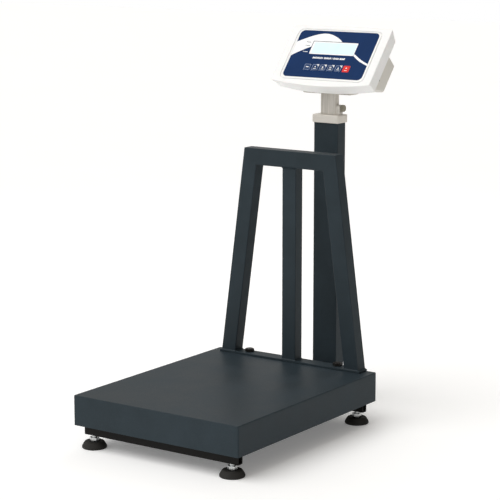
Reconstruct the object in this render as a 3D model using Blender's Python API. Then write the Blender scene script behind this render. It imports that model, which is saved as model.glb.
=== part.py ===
"""Platform shipping scale: a low deck on a levelled base, a load guard, and a tilting indicator on a column.

Metres, +Z up. The floor is Z = 0 and the load guard stands at the back, towards +Y. Everything hangs from
the empty scale_frame, whose own Y = 0 is the deck's front edge, so that the part's origin comes out at the
middle of its footprint.
"""

import math

import bmesh
import bpy
from mathutils import Vector

# Driving sizes.
GAP = 0.0003                 # clearance between pieces that touch
FOOTPRINT_DEPTH = 0.7036     # deck's front edge to the head's rear edge

DECK_WIDTH = 0.400
DECK_DEPTH = 0.500
DECK_TOP = 0.1082
DECK_SKIRT = 0.0616
DECK_SHEET = 0.002
DECK_CORNER = 0.0032

BEAM_HALF_LENGTH = 0.1869
BEAM_WIDTH = 0.015
BEAM_HEIGHT = 0.040
BEAM_BOTTOM = 0.02565
BEAM_INSET = 0.025           # deck edge to beam centre line
RAIL_SIZE = 0.025
RAIL_X = 0.1025
TUBE_WALL = 0.002
TUBE_CORNER = 0.0018

FOOT_X = 0.16835
FOOT_RADIUS = 0.025
CUP_HEIGHT = 0.0140
STUD_RADIUS = 0.005
FOOT_HEX = 0.017             # across flats
FOOT_HEX_TOP = 0.0220
STUD_TOP = 0.055

PLATE_HALF_WIDTH = 0.118
PLATE_LENGTH = 0.054
MOUNT_PLATE_SHEET = 0.006
SPIDER_PLATE_SHEET = 0.005
CELL_LENGTH = 0.130
CELL_WIDTH = 0.030
CELL_HEIGHT = 0.0266
CELL_PAD = 0.002             # height of the machined pads at its two ends
CELL_BOLT_PITCH = 0.018
M8_RADIUS = 0.004
M8_HEX = 0.013
M8_HEAD = 0.0052
STOP_GAP = 0.00085           # overload stop to spider plate

SPIDER_HEIGHT = 0.0138
SPIDER_END = 0.040           # deck edge to the end of a spider rail
PAD_RADIUS = 0.010
PAD_THICKNESS = 0.00235
PAD_INSET = 0.060

GUARD_TUBE_WIDTH = 0.035
GUARD_TUBE_DEPTH = 0.0295
CENTRE_BAR_WIDTH = 0.034
CENTRE_BAR_DEPTH = 0.0265
GUARD_FRONT = 0.4693
GUARD_TOP = 0.5592
GUARD_TOP_HALF = 0.114
GUARD_FOOT_HALF = 0.1737
GUARD_PLATE_HALF = 0.1783
GUARD_PLATE_FRONT = 0.4675
GUARD_PLATE_BACK = 0.4990
GUARD_PLATE_SHEET = 0.004
GUARD_BOLT_X = 0.112
GUARD_BOLT_Y = 0.487
M10_RADIUS = 0.005
M10_HEX = 0.017
M10_HEAD = 0.0064
M10_NUT = 0.008

COLUMN_Y = 0.6271
COLUMN_WIDTH = 0.0602
COLUMN_DEPTH = 0.032
COLUMN_TOP = 0.6052
BRACKET_BOTTOM = 0.027
BRACKET_HEIGHT = 0.016
GUSSET_HEIGHT = 0.037
GUSSET_LENGTH = 0.060
CAP_WIDTH = 0.066
CAP_DEPTH = 0.040
CAP_TOP = 0.6228
CAP_SPIGOT = 0.014
POST_RADIUS = 0.005

NECK_WIDTH = 0.040
NECK_DEPTH = 0.016
LUG_REACH = 0.029
LUG_TOP = 0.6445
SCREW_Z = 0.637
KNOB_RADIUS = 0.0075
KNOB_END = 0.0372
M5_RADIUS = 0.0025

YOKE_HALF = 0.060
YOKE_SHEET = 0.0025
YOKE_BOTTOM = 0.667
YOKE_FRONT = 0.6145
EAR_RADIUS = 0.009

TILT = math.radians(40.4)    # the face leans back this far from upright
FACE_FOOT = Vector((0.0, 0.5828, 0.6950))   # middle of the line between the face's two bottom corners
PIVOT_DEPTH = 0.0468         # tilt axis behind the face
PIVOT_UP = 0.0333            # tilt axis above the bottom corners, along the face
FACE_HALF = 0.1246
FACE_HEIGHT = 0.1455
BOTTOM_BOW = 0.011
TOP_BOW = 0.004
FACE_CORNER = 0.0045
SHELL_DEPTH = 0.035
SHELL_DRAFT = 0.006
SHELL_WALL = 0.0025
FRONT_WALL = 0.003
FLANGE = 0.0023
FLANGE_LAND = 0.004          # straight stretch inside the front shell's rim, for the flange
BOX_DEPTH = 0.072
BOX_HALF = (0.1154, 0.115)   # at the flange and at the back
BOX_BOTTOM = (0.0094, 0.0305)
BOX_TOP = (0.105, 0.103)
BOX_CORNER = 0.006
POCKET_HALF = 0.064
POCKET_FRONT = 0.028
POCKET_TOP = 0.0453

OVERLAY_HALF = 0.099
OVERLAY_CORNER = 0.0105
OVERLAY_SPAN = (0.0105, 0.1330)
OVERLAY_SHEET = (0.0001, 0.0006)
WINDOW_HALF = 0.056
WINDOW_SPAN = (0.0715, 0.1045)
WINDOW_SHEET = (0.0001, 0.0016)
KEY_COLUMNS = (-0.045, -0.0255, -0.006, 0.0135, 0.033, 0.0525)
KEY_ROW = 0.037
KEY_SIZE = 0.0166
KEY_SHEET = (-0.0005, 0.0007)
KEY_POCKET_FLOOR = 0.0015

# Heights that follow from those.
RAIL_TOP = BEAM_BOTTOM + RAIL_SIZE
MOUNT_PLATE_BOTTOM = RAIL_TOP + GAP
CELL_BOTTOM = MOUNT_PLATE_BOTTOM + MOUNT_PLATE_SHEET + GAP
SPIDER_PLATE_BOTTOM = CELL_BOTTOM + CELL_HEIGHT + GAP
SPIDER_BOTTOM = SPIDER_PLATE_BOTTOM + SPIDER_PLATE_SHEET + GAP
PAD_BOTTOM = SPIDER_BOTTOM + SPIDER_HEIGHT + GAP
DECK_UNDERSIDE = DECK_TOP - DECK_SHEET
GUARD_PLATE_BOTTOM = DECK_TOP + GAP
GUARD_PLATE_TOP = GUARD_PLATE_BOTTOM + GUARD_PLATE_SHEET
BRACKET_TOP = BRACKET_BOTTOM + BRACKET_HEIGHT
DECK_MIDDLE = DECK_DEPTH / 2

BOLT_STEPS = 12              # sides of bolts and holes
TURNED_STEPS = 24            # sides of the larger turned pieces


def linear(*levels):
    """A colour given as sRGB levels from 0 to 255, as Blender's linear RGBA."""
    channels = []
    for level in levels:
        share = level / 255
        channels.append(share / 12.92 if share <= 0.04045 else ((share + 0.055) / 1.055) ** 2.4)
    return (*channels, 1.0)


def material(name, colour, roughness, metallic=0.0):
    look = bpy.data.materials.new(name)
    look.use_nodes = True
    shader = look.node_tree.nodes["Principled BSDF"]
    shader.inputs["Base Color"].default_value = linear(*colour)
    shader.inputs["Roughness"].default_value = roughness
    shader.inputs["Metallic"].default_value = metallic
    return look


def empty(name, location, parent=None, tilt=0.0):
    holder = bpy.data.objects.new(name, None)
    holder.location = location
    holder.rotation_euler = (tilt, 0.0, 0.0)
    holder.parent = parent
    bpy.context.scene.collection.objects.link(holder)
    return holder


def loft(name, rings, look, parent, location=(0.0, 0.0, 0.0), hollow=False):
    """A closed body through rings of equal length; a hollow one joins its last ring to its first."""
    bm = bmesh.new()
    loops = [[bm.verts.new(point) for point in ring] for ring in rings]
    following = loops[1:] + [loops[0]] if hollow else loops[1:]
    for lower, upper in zip(loops, following):
        for i in range(len(lower)):
            j = (i + 1) % len(lower)
            bm.faces.new((lower[i], lower[j], upper[j], upper[i]))
    if not hollow:
        bm.faces.new(loops[0][::-1])
        bm.faces.new(loops[-1])
    bmesh.ops.recalc_face_normals(bm, faces=bm.faces)
    mesh = bpy.data.meshes.new(name)
    bm.to_mesh(mesh)
    bm.free()
    mesh.shade_smooth()
    mesh.set_sharp_from_angle(angle=math.radians(35))
    if look:
        mesh.materials.append(look)
    body = bpy.data.objects.new(name, mesh)
    body.location = location
    body.parent = parent
    bpy.context.scene.collection.objects.link(body)
    return body


def boolean(body, tool, operation="DIFFERENCE"):
    """Applies one helper body to a piece and keeps the helper out of the render."""
    tool.hide_render = True
    tool.display_type = "WIRE"
    step = body.modifiers.new(tool.name, "BOOLEAN")
    step.operation = operation
    step.solver = "EXACT"
    step.object = tool


def rounded_rect(width, depth, radius, centre=(0.0, 0.0), steps=3):
    points = []
    for quarter, (side_x, side_y) in enumerate(((1, 1), (-1, 1), (-1, -1), (1, -1))):
        x = centre[0] + side_x * (width / 2 - radius)
        y = centre[1] + side_y * (depth / 2 - radius)
        for step in range(steps + 1):
            angle = math.pi / 2 * (quarter + step / steps)
            points.append((x + radius * math.cos(angle), y + radius * math.sin(angle)))
    return points


def circle(radius, centre=(0.0, 0.0), steps=BOLT_STEPS):
    turns = [2 * math.pi * step / steps for step in range(steps)]
    return [(centre[0] + radius * math.cos(a), centre[1] + radius * math.sin(a)) for a in turns]


def hexagon(across_flats, most=2.0, steps=BOLT_STEPS):
    """A hexagon with as many points as a circle; its corners are cut to most times the flats' radius."""
    points = []
    for step in range(steps):
        angle = 2 * math.pi * step / steps
        past_flat = (angle + math.pi / 6) % (math.pi / 3) - math.pi / 6
        reach = across_flats / 2 * min(1 / math.cos(past_flat), most)
        points.append((reach * math.cos(angle), reach * math.sin(angle)))
    return points


def level(points, z):
    """A ring in the horizontal plane."""
    return [(x, y, z) for x, y in points]


def sideways(points, x):
    """A ring in a plane across X, from points given as (y, z)."""
    return [(x, y, z) for y, z in points]


def block(name, low, high, look, parent, radius=0.0):
    """A block between two corners; with a radius its upright edges are rounded."""
    width, depth = high[0] - low[0], high[1] - low[1]
    middle = ((low[0] + high[0]) / 2, (low[1] + high[1]) / 2)
    if radius:
        outline = rounded_rect(width, depth, radius, middle)
    else:
        outline = [(low[0], low[1]), (high[0], low[1]), (high[0], high[1]), (low[0], high[1])]
    return loft(name, [level(outline, low[2]), level(outline, high[2])], look, parent)


def cutter(name, outline, span, parent, across=False):
    """A helper prism along Z, or along X when across is set."""
    place = sideways if across else level
    return loft(name, [place(outline, span[0]), place(outline, span[1])], None, parent)


def drill(body, centre, radius, span, parent):
    """An upright round hole."""
    hole = cutter(f"{body.name}_hole_{len(body.modifiers)}", circle(radius, centre), span, parent)
    boolean(body, hole)


def tube(name, start, end, width_axis, size, look, parent, ends=None, wall=TUBE_WALL):
    """A rectangular tube from start to end, open at both ends, which may be mitred planes.

    size is its width along width_axis and its depth across it; ends holds the two end planes' normals.
    """
    start, end, width_axis = Vector(start), Vector(end), Vector(width_axis)
    along = (end - start).normalized()
    depth_axis = along.cross(width_axis)
    planes = ends or (along, along)

    def end_ring(outline, point, normal):
        normal = Vector(normal)
        ring = []
        for w, d in outline:
            offset = width_axis * w + depth_axis * d
            ring.append(point + offset - along * (offset.dot(normal) / along.dot(normal)))
        return ring

    outer = rounded_rect(size[0], size[1], TUBE_CORNER)
    inner = rounded_rect(size[0] - 2 * wall, size[1] - 2 * wall, TUBE_CORNER - wall / 2)
    rings = [
        end_ring(outer, start, planes[0]),
        end_ring(outer, end, planes[1]),
        end_ring(inner, end, planes[1]),
        end_ring(inner, start, planes[0]),
    ]
    return loft(name, rings, look, parent, hollow=True)


def hex_bolt(name, location, size, head, shank, look, parent, nut=None):
    """An upright hexagon bolt: head and shank are heights from location, nut a second hexagon's."""
    radius, flats = size
    chamfer = 0.12 * (head[1] - head[0])
    rings = [level(hexagon(flats), head[0]), level(hexagon(flats), head[1] - chamfer)]
    rings.append(level(hexagon(flats, 1.05), head[1]))
    if shank > head[1]:
        rings = [level(hexagon(flats, 1.05), head[0]), level(hexagon(flats), head[0] + chamfer)]
        rings += [level(hexagon(flats), head[1]), level(circle(radius), head[1]), level(circle(radius), shank)]
        return loft(name, rings, look, parent, location)
    below = [level(circle(radius), shank), level(circle(radius), head[0])]
    if nut:
        below = [
            level(circle(radius), shank), level(circle(radius), nut[0]), level(hexagon(flats, 1.05), nut[0]),
            level(hexagon(flats), nut[0] + chamfer), level(hexagon(flats), nut[1]),
            level(circle(radius), nut[1]), level(circle(radius), head[0]),
        ]
    return loft(name, below + rings, look, parent, location)


def build_base(frame, looks):
    """Beams, rails, load cell and its plate, stops, bracket and column: everything that stands still."""
    black = looks["frame_black"]
    beam_z = BEAM_BOTTOM + BEAM_HEIGHT / 2
    for name, y in (("base_front_beam", BEAM_INSET), ("base_rear_beam", DECK_DEPTH - BEAM_INSET)):
        beam = tube(name, (-BEAM_HALF_LENGTH, y, beam_z), (BEAM_HALF_LENGTH, y, beam_z), (0, 0, 1),
                    (BEAM_HEIGHT, BEAM_WIDTH), black, frame)
        for side in (-1, 1):
            drill(beam, (side * FOOT_X, y), STUD_RADIUS + GAP, (0.0, beam_z), frame)
    rail_z = BEAM_BOTTOM + RAIL_SIZE / 2
    rail_start = BEAM_INSET + BEAM_WIDTH / 2 + GAP
    cell_start = DECK_MIDDLE - CELL_LENGTH / 2
    stop_y = DECK_MIDDLE + CELL_LENGTH / 2 - PLATE_LENGTH / 2
    for name, side in (("left", -1), ("right", 1)):
        x = side * RAIL_X
        rail = tube(f"base_{name}_rail", (x, rail_start, rail_z), (x, DECK_DEPTH - rail_start, rail_z),
                    (1, 0, 0), (RAIL_SIZE, RAIL_SIZE), black, frame)
        drill(rail, (x, stop_y), M8_RADIUS + GAP, (rail_z, RAIL_TOP + GAP), frame)
        top = SPIDER_PLATE_BOTTOM - STOP_GAP
        hex_bolt(f"stop_bolt_{name}", (x, stop_y, 0), (M8_RADIUS, M8_HEX), (top - M8_HEAD, top), rail_z + GAP,
                 looks["zinc"], frame)

    plate = block("cell_mount_plate", (-PLATE_HALF_WIDTH, cell_start - 2 * CELL_PAD, MOUNT_PLATE_BOTTOM),
                  (PLATE_HALF_WIDTH, cell_start + PLATE_LENGTH, MOUNT_PLATE_BOTTOM + MOUNT_PLATE_SHEET),
                  black, frame, radius=0.003)
    cell = load_cell(looks, frame)
    bolt_start = cell_start + CELL_BOLT_PITCH / 2
    for name, y in (("front", bolt_start), ("rear", bolt_start + CELL_BOLT_PITCH)):
        drill(plate, (0, y), M8_RADIUS + GAP, (RAIL_TOP - GAP, CELL_BOTTOM), frame)
        drill(cell, (0, y), M8_RADIUS + GAP, (0, CELL_BOTTOM + CELL_HEIGHT / 2 + GAP), frame)
        head_top = MOUNT_PLATE_BOTTOM - GAP
        hex_bolt(f"cell_lower_bolt_{name}", (0, y, 0), (M8_RADIUS, M8_HEX), (head_top - M8_HEAD, head_top),
                 CELL_BOTTOM + CELL_HEIGHT / 2, looks["zinc"], frame)
    build_column(frame, looks)
    return cell


def load_cell(looks, parent):
    """A beam with a machined pad under its front end and one on top of its rear end."""
    start, end = DECK_MIDDLE - CELL_LENGTH / 2, DECK_MIDDLE + CELL_LENGTH / 2
    pad = PLATE_LENGTH - 2 * CELL_PAD - CELL_BOLT_PITCH / 2
    bottom, top = CELL_BOTTOM, CELL_BOTTOM + CELL_HEIGHT
    side = [
        (start, bottom), (start + pad, bottom), (start + pad, bottom + CELL_PAD), (end, bottom + CELL_PAD),
        (end, top), (end - pad, top), (end - pad, top - CELL_PAD), (start, top - CELL_PAD),
    ]
    cell = loft("load_cell", [sideways(side, -CELL_WIDTH / 2), sideways(side, CELL_WIDTH / 2)],
                looks["aluminium"], parent)
    slot_radius, slot_half = 0.007, 0.021
    slot = rounded_rect(2 * slot_half, 2 * slot_radius, slot_radius, (DECK_MIDDLE, (bottom + top) / 2), steps=6)
    boolean(cell, cutter("load_cell_slot", slot, (-CELL_WIDTH, CELL_WIDTH), parent, across=True))
    return cell


def build_column(frame, looks):
    arm_start = DECK_DEPTH - BEAM_INSET + BEAM_WIDTH / 2 + GAP
    arm_end = COLUMN_Y + COLUMN_DEPTH / 2
    arm_z = BRACKET_BOTTOM + BRACKET_HEIGHT / 2
    bracket = tube("column_bracket", (0, arm_start, arm_z), (0, arm_end, arm_z), (1, 0, 0),
                   (COLUMN_WIDTH, BRACKET_HEIGHT), looks["frame_black"], frame)
    face = COLUMN_Y - COLUMN_DEPTH / 2 - GAP
    gusset = [(face, BRACKET_TOP - TUBE_WALL / 2), (face, BRACKET_TOP + GUSSET_HEIGHT),
              (face - 0.008, BRACKET_TOP + GUSSET_HEIGHT), (face - GUSSET_LENGTH, BRACKET_TOP + 0.006),
              (face - GUSSET_LENGTH, BRACKET_TOP - TUBE_WALL / 2)]
    boolean(bracket, cutter("column_gusset", gusset, (-0.003, 0.003), frame, across=True), "UNION")

    tube("column_tube", (0, COLUMN_Y, BRACKET_TOP + GAP), (0, COLUMN_Y, COLUMN_TOP), (1, 0, 0),
         (COLUMN_WIDTH, COLUMN_DEPTH), looks["slate"], frame)

    centre = (0, COLUMN_Y)
    lip = COLUMN_TOP + GAP
    spigot_size = (COLUMN_WIDTH - 2 * TUBE_WALL - 2 * GAP, COLUMN_DEPTH - 2 * TUBE_WALL - 2 * GAP)
    cap_rings = [
        level(rounded_rect(*spigot_size, 0.0015, centre), lip - CAP_SPIGOT),
        level(rounded_rect(*spigot_size, 0.0015, centre), lip),
        level(rounded_rect(CAP_WIDTH - 0.003, CAP_DEPTH - 0.003, 0.003, centre), lip),
        level(rounded_rect(CAP_WIDTH, CAP_DEPTH, 0.004, centre), lip + 0.0025),
        level(rounded_rect(CAP_WIDTH, CAP_DEPTH, 0.004, centre), CAP_TOP - 0.003),
        level(rounded_rect(CAP_WIDTH - 0.002, CAP_DEPTH - 0.002, 0.004, centre), CAP_TOP - 0.0009),
        level(rounded_rect(CAP_WIDTH - 0.006, CAP_DEPTH - 0.006, 0.004, centre), CAP_TOP),
    ]
    cap = loft("column_cap", cap_rings, looks["ivory"], frame)
    drill(cap, centre, POST_RADIUS + GAP, (COLUMN_TOP - 2 * CAP_SPIGOT, CAP_TOP + GAP), frame)
    loft("swivel_post", [level(circle(POST_RADIUS), COLUMN_TOP - CAP_SPIGOT), level(circle(POST_RADIUS), 0.660)],
         looks["zinc"], frame, (0, COLUMN_Y, 0))


def build_feet(frame, looks):
    """Each foot is a rubber cup on a screwed stud; both turn and rise about the stud's axis."""
    cup_profile = [
        (FOOT_RADIUS - 0.001, 0.0), (FOOT_RADIUS, 0.0012), (FOOT_RADIUS, 0.0045), (0.0238, 0.0072),
        (0.0214, 0.0102), (0.0196, 0.0128), (0.0184, CUP_HEIGHT), (STUD_RADIUS + GAP, CUP_HEIGHT),
        (STUD_RADIUS + GAP, 0.006),
    ]
    hex_bottom = CUP_HEIGHT + GAP
    for row, y in (("front", BEAM_INSET), ("rear", DECK_DEPTH - BEAM_INSET)):
        for column, side in (("left", -1), ("right", 1)):
            axis = empty(f"foot_axis_{row}_{column}", (side * FOOT_X, y, 0), frame)
            rings = [level(circle(radius, steps=TURNED_STEPS), z) for radius, z in cup_profile]
            loft(f"foot_cup_{row}_{column}", rings, looks["rubber"], axis)
            stud = [
                level(circle(STUD_RADIUS), 0.006 + GAP), level(circle(STUD_RADIUS), hex_bottom),
                level(hexagon(FOOT_HEX, 1.06), hex_bottom), level(hexagon(FOOT_HEX), hex_bottom + 0.001),
                level(hexagon(FOOT_HEX), FOOT_HEX_TOP - 0.001), level(hexagon(FOOT_HEX, 1.06), FOOT_HEX_TOP),
                level(circle(STUD_RADIUS), FOOT_HEX_TOP), level(circle(STUD_RADIUS), STUD_TOP),
            ]
            loft(f"foot_stud_{row}_{column}", stud, looks["zinc"], axis)


def build_platform(frame, looks, cell):
    """The frame on the load cell's free end, the deck on its pads, and the load guard."""
    platform = empty("platform", (0, 0, 0), frame)
    black = looks["frame_black"]
    cell_end = DECK_MIDDLE + CELL_LENGTH / 2
    plate = block("spider_plate", (-PLATE_HALF_WIDTH, cell_end - PLATE_LENGTH, SPIDER_PLATE_BOTTOM),
                  (PLATE_HALF_WIDTH, cell_end + 2 * CELL_PAD, SPIDER_PLATE_BOTTOM + SPIDER_PLATE_SHEET),
                  black, platform, radius=0.003)
    bolt_end = cell_end - CELL_BOLT_PITCH / 2
    for name, y in (("front", bolt_end - CELL_BOLT_PITCH), ("rear", bolt_end)):
        shank_end = CELL_BOTTOM + CELL_HEIGHT / 2 + GAP
        drill(plate, (0, y), M8_RADIUS + GAP, (SPIDER_PLATE_BOTTOM - GAP, SPIDER_BOTTOM), platform)
        drill(cell, (0, y), M8_RADIUS + GAP, (shank_end - 4 * GAP, SPIDER_PLATE_BOTTOM), platform)
        hex_bolt(f"cell_upper_bolt_{name}", (0, y, 0), (M8_RADIUS, M8_HEX),
                 (SPIDER_BOTTOM, SPIDER_BOTTOM + M8_HEAD), shank_end, looks["zinc"], platform)
    rail_z = SPIDER_BOTTOM + SPIDER_HEIGHT / 2
    for name, side in (("left", -1), ("right", 1)):
        x = side * RAIL_X
        tube(f"spider_{name}_rail", (x, SPIDER_END, rail_z), (x, DECK_DEPTH - SPIDER_END, rail_z), (1, 0, 0),
             (RAIL_SIZE, SPIDER_HEIGHT), black, platform)
        for row, y in (("front", PAD_INSET), ("rear", DECK_DEPTH - PAD_INSET)):
            pad_rings = [level(circle(PAD_RADIUS), PAD_BOTTOM), level(circle(PAD_RADIUS), PAD_BOTTOM + PAD_THICKNESS)]
            loft(f"deck_pad_{row}_{name}", pad_rings, looks["rubber"], platform, (x, y, 0))
    build_deck(platform, looks)
    build_guard(platform, looks)


def build_deck(platform, looks):
    """A tray folded down on all four sides, with its folds' radius at the top edge."""
    middle = (0, DECK_MIDDLE)
    bottom = DECK_TOP - DECK_SKIRT

    def tray_ring(inset, z):
        corner = max(DECK_CORNER - inset, 0.001)
        return level(rounded_rect(DECK_WIDTH - 2 * inset, DECK_DEPTH - 2 * inset, corner, middle), z)

    rings = [
        tray_ring(0.0022, DECK_TOP), tray_ring(0.0007, DECK_TOP - 0.0006), tray_ring(0.0, DECK_TOP - 0.0022),
        tray_ring(0.0, bottom), tray_ring(DECK_SHEET, bottom), tray_ring(DECK_SHEET, DECK_UNDERSIDE),
    ]
    deck = loft("deck_tray", rings, looks["slate"], platform)
    for side in (-1, 1):
        drill(deck, (side * GUARD_BOLT_X, GUARD_BOLT_Y), M10_RADIUS + GAP,
              (DECK_UNDERSIDE - GAP, GUARD_PLATE_BOTTOM), platform)


def build_guard(platform, looks):
    """Two raked legs and a top bar, mitred together, and a middle bar, on a plate bolted to the deck."""
    slate = looks["slate"]
    plate = block("guard_base_plate", (-GUARD_PLATE_HALF, GUARD_PLATE_FRONT, GUARD_PLATE_BOTTOM),
                  (GUARD_PLATE_HALF, GUARD_PLATE_BACK, GUARD_PLATE_TOP), slate, platform, radius=0.002)
    y = GUARD_FRONT + GUARD_TUBE_DEPTH / 2
    foot_z = GUARD_PLATE_TOP + GAP
    section = (GUARD_TUBE_WIDTH, GUARD_TUBE_DEPTH)
    bar_z = GUARD_TOP - GUARD_TUBE_WIDTH / 2

    # Middle line of the right leg: parallel to its outer edge, half a tube width inside it.
    outer_foot = Vector((GUARD_FOOT_HALF, y, foot_z))
    outer_top = Vector((GUARD_TOP_HALF, y, GUARD_TOP))
    rise = (outer_top - outer_foot).normalized()
    inward = Vector((-rise.z, 0, rise.x))
    line = outer_foot + inward * (GUARD_TUBE_WIDTH / 2)
    foot = line + rise * ((foot_z - line.z) / rise.z)
    corner = line + rise * ((bar_z - line.z) / rise.z)
    mitre = (rise - Vector((1, 0, 0))).normalized()
    gap_half = GAP / 2
    for name, side in (("left", -1), ("right", 1)):
        flip = Vector((side, 1, 1))
        leg_top = corner - mitre * gap_half
        tube(f"guard_{name}_leg", foot * flip, leg_top * flip, Vector((-inward.x, 0, -inward.z)) * flip,
             section, slate, platform, ends=((0, 0, 1), mitre * flip))
        bolt_at = (side * GUARD_BOLT_X, GUARD_BOLT_Y)
        drill(plate, bolt_at, M10_RADIUS + GAP, (GUARD_PLATE_BOTTOM - GAP, GUARD_PLATE_TOP + GAP), platform)
        nut_top = DECK_UNDERSIDE - GAP
        hex_bolt(f"guard_{name}_bolt", (*bolt_at, 0), (M10_RADIUS, M10_HEX), (foot_z, foot_z + M10_HEAD),
                 nut_top - M10_NUT - 0.003, looks["bolt_black"], platform, nut=(nut_top - M10_NUT, nut_top))
    bar_start, bar_end = corner + mitre * gap_half, Vector((-1, 1, 1)) * (corner + mitre * gap_half)
    tube("guard_top_bar", bar_end, bar_start, (0, 0, 1), section, slate, platform,
         ends=(mitre * Vector((-1, 1, 1)), mitre))
    bar_y = GUARD_FRONT + CENTRE_BAR_DEPTH / 2
    tube("guard_centre_bar", (0, bar_y, foot_z), (0, bar_y, GUARD_TOP - GUARD_TUBE_WIDTH - GAP), (1, 0, 0),
         (CENTRE_BAR_WIDTH, CENTRE_BAR_DEPTH), slate, platform)


def build_neck(frame, looks):
    """The sleeve that turns on the column's post, its clamp screw, and the yoke that carries the head."""
    swivel = empty("neck_swivel", (0, COLUMN_Y, 0), frame)
    bottom, top = CAP_TOP + GAP, YOKE_BOTTOM - GAP
    outline = rounded_rect(NECK_WIDTH, NECK_DEPTH, 0.005, steps=5)
    bore = circle(POST_RADIUS + GAP, steps=len(outline))
    sleeve = loft("neck_sleeve", [level(outline, bottom), level(outline, top), level(bore, top), level(bore, bottom)],
                  looks["ivory_grey"], swivel, hollow=True)
    lug_side = [(-0.006, bottom), (0.006, bottom), (0.006, LUG_TOP - 0.006), (0.0035, LUG_TOP - 0.0015),
                (0.0, LUG_TOP), (-0.0035, LUG_TOP - 0.0015), (-0.006, LUG_TOP - 0.006)]
    lug = cutter("neck_lug", lug_side, (NECK_WIDTH / 2 - 0.003, LUG_REACH), swivel, across=True)
    boolean(sleeve, lug, "UNION")
    screw_hole = cutter("neck_screw_hole", circle(M5_RADIUS + GAP, (0, SCREW_Z)), (0.0, LUG_REACH + GAP),
                        swivel, across=True)
    boolean(sleeve, screw_hole)

    knob_start = LUG_REACH + GAP
    grip = [(KNOB_RADIUS * (1 - 0.09 * (step % 2)), 2 * math.pi * step / TURNED_STEPS)
            for step in range(TURNED_STEPS)]

    def knob_ring(share, x):
        return [(x, share * r * math.cos(a), share * r * math.sin(a)) for r, a in grip]

    shank = circle(M5_RADIUS, steps=TURNED_STEPS)
    screw_rings = [
        sideways(shank, POST_RADIUS + 2 * GAP), sideways(shank, knob_start), knob_ring(0.93, knob_start),
        knob_ring(1.0, knob_start + 0.0008), knob_ring(1.0, KNOB_END - 0.0012), knob_ring(0.86, KNOB_END),
    ]
    loft("thumb_screw", screw_rings, looks["knob_khaki"], swivel, (0, 0, SCREW_Z))
    build_yoke(swivel, looks)


def tilt_axis_point():
    """Where the tilt axis passes, in scale_frame's coordinates."""
    back = Vector((0, math.cos(TILT), -math.sin(TILT)))
    up = Vector((0, math.sin(TILT), math.cos(TILT)))
    return FACE_FOOT + back * PIVOT_DEPTH + up * PIVOT_UP


def build_yoke(swivel, looks):
    """A strip folded into a U; the side view of its ears is a tapered lobe round the tilt axis."""
    pivot = tilt_axis_point()
    pivot_y, pivot_z = pivot.y - COLUMN_Y, pivot.z
    front, back = YOKE_FRONT - COLUMN_Y, pivot_y + EAR_RADIUS
    ear_top = pivot_z + EAR_RADIUS + 0.001
    inner, floor = YOKE_HALF - YOKE_SHEET, YOKE_BOTTOM + YOKE_SHEET
    fold = [
        (-YOKE_HALF, ear_top), (-YOKE_HALF, YOKE_BOTTOM + 0.0015), (-YOKE_HALF + 0.0015, YOKE_BOTTOM),
        (YOKE_HALF - 0.0015, YOKE_BOTTOM), (YOKE_HALF, YOKE_BOTTOM + 0.0015), (YOKE_HALF, ear_top),
        (inner, ear_top), (inner, floor), (-inner, floor), (-inner, ear_top),
    ]
    rings = [[(x, y, z) for x, z in fold] for y in (front - 0.001, back + 0.001)]
    yoke = loft("tilt_yoke", rings, looks["ivory_grey"], swivel)
    lobe = [(front, YOKE_BOTTOM - 0.001), (back - 0.003, YOKE_BOTTOM - 0.001)]
    steps = 10
    for step in range(steps + 1):
        angle = math.pi * step / steps
        lobe.append((pivot_y + EAR_RADIUS * math.cos(angle), pivot_z + EAR_RADIUS * math.sin(angle)))
    lobe.append((front, floor + 0.001))
    reach = YOKE_HALF + 0.005
    boolean(yoke, cutter("yoke_side", lobe, (-reach, reach), swivel, across=True), "INTERSECT")
    pin_hole = circle(M5_RADIUS + GAP, (pivot_y, pivot_z))
    boolean(yoke, cutter("yoke_pin_hole", pin_hole, (-reach, reach), swivel, across=True))


def panel(half_width, bottom, top, bottom_bow, top_bow, radius):
    """Outline of a panel whose long edges bow outwards, as (across, up) points, anticlockwise."""
    corner_steps, edge_steps = 4, 6

    def edge(u, side):
        share = 1 - (u / half_width) ** 2
        return top + top_bow * share if side > 0 else bottom - bottom_bow * share

    points = []
    for side_u, side_v in ((1, -1), (1, 1), (-1, 1), (-1, -1)):
        slope = math.atan(2 * (bottom_bow if side_v < 0 else top_bow) / half_width)
        u0 = half_width - radius
        touch = u0 + radius * math.sin(slope)
        v0 = edge(touch, side_v) - side_v * radius * math.cos(slope)
        corner = []
        for step in range(corner_steps + 1):
            angle = (math.pi / 2 - slope) * step / corner_steps
            corner.append((side_u * (u0 + radius * math.cos(angle)), v0 + side_v * radius * math.sin(angle)))
        if (side_u > 0) != (side_v > 0):
            corner.reverse()
        points += corner
        if side_u == side_v:
            start = corner[-1][0]
            for step in range(1, edge_steps):
                u = start * (1 - 2 * step / edge_steps)
                points.append((u, edge(u, side_v)))
    return points


def face_outline(inset):
    return panel(FACE_HALF - inset, inset, FACE_HEIGHT - inset, BOTTOM_BOW, TOP_BOW,
                 max(FACE_CORNER - inset, 0.003))


def box_outline(end, inset=0.0):
    return panel(BOX_HALF[end] - inset, BOX_BOTTOM[end] + inset, BOX_TOP[end] - inset, 0.0, 0.0,
                 BOX_CORNER - inset)


def in_head(outline, depth):
    """A ring at a depth behind the face, in the coordinates of the tilt empty."""
    return [(u, depth - PIVOT_DEPTH, v - PIVOT_UP) for u, v in outline]


def head_block(name, across, up, depth, radius, look, parent):
    """A rounded slab parallel to the face; across, up and depth are (low, high) pairs."""
    centre = (sum(across) / 2, sum(up) / 2)
    outline = rounded_rect(across[1] - across[0], up[1] - up[0], radius, centre)
    return loft(name, [in_head(outline, depth[0]), in_head(outline, depth[1])], look, parent)


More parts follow.
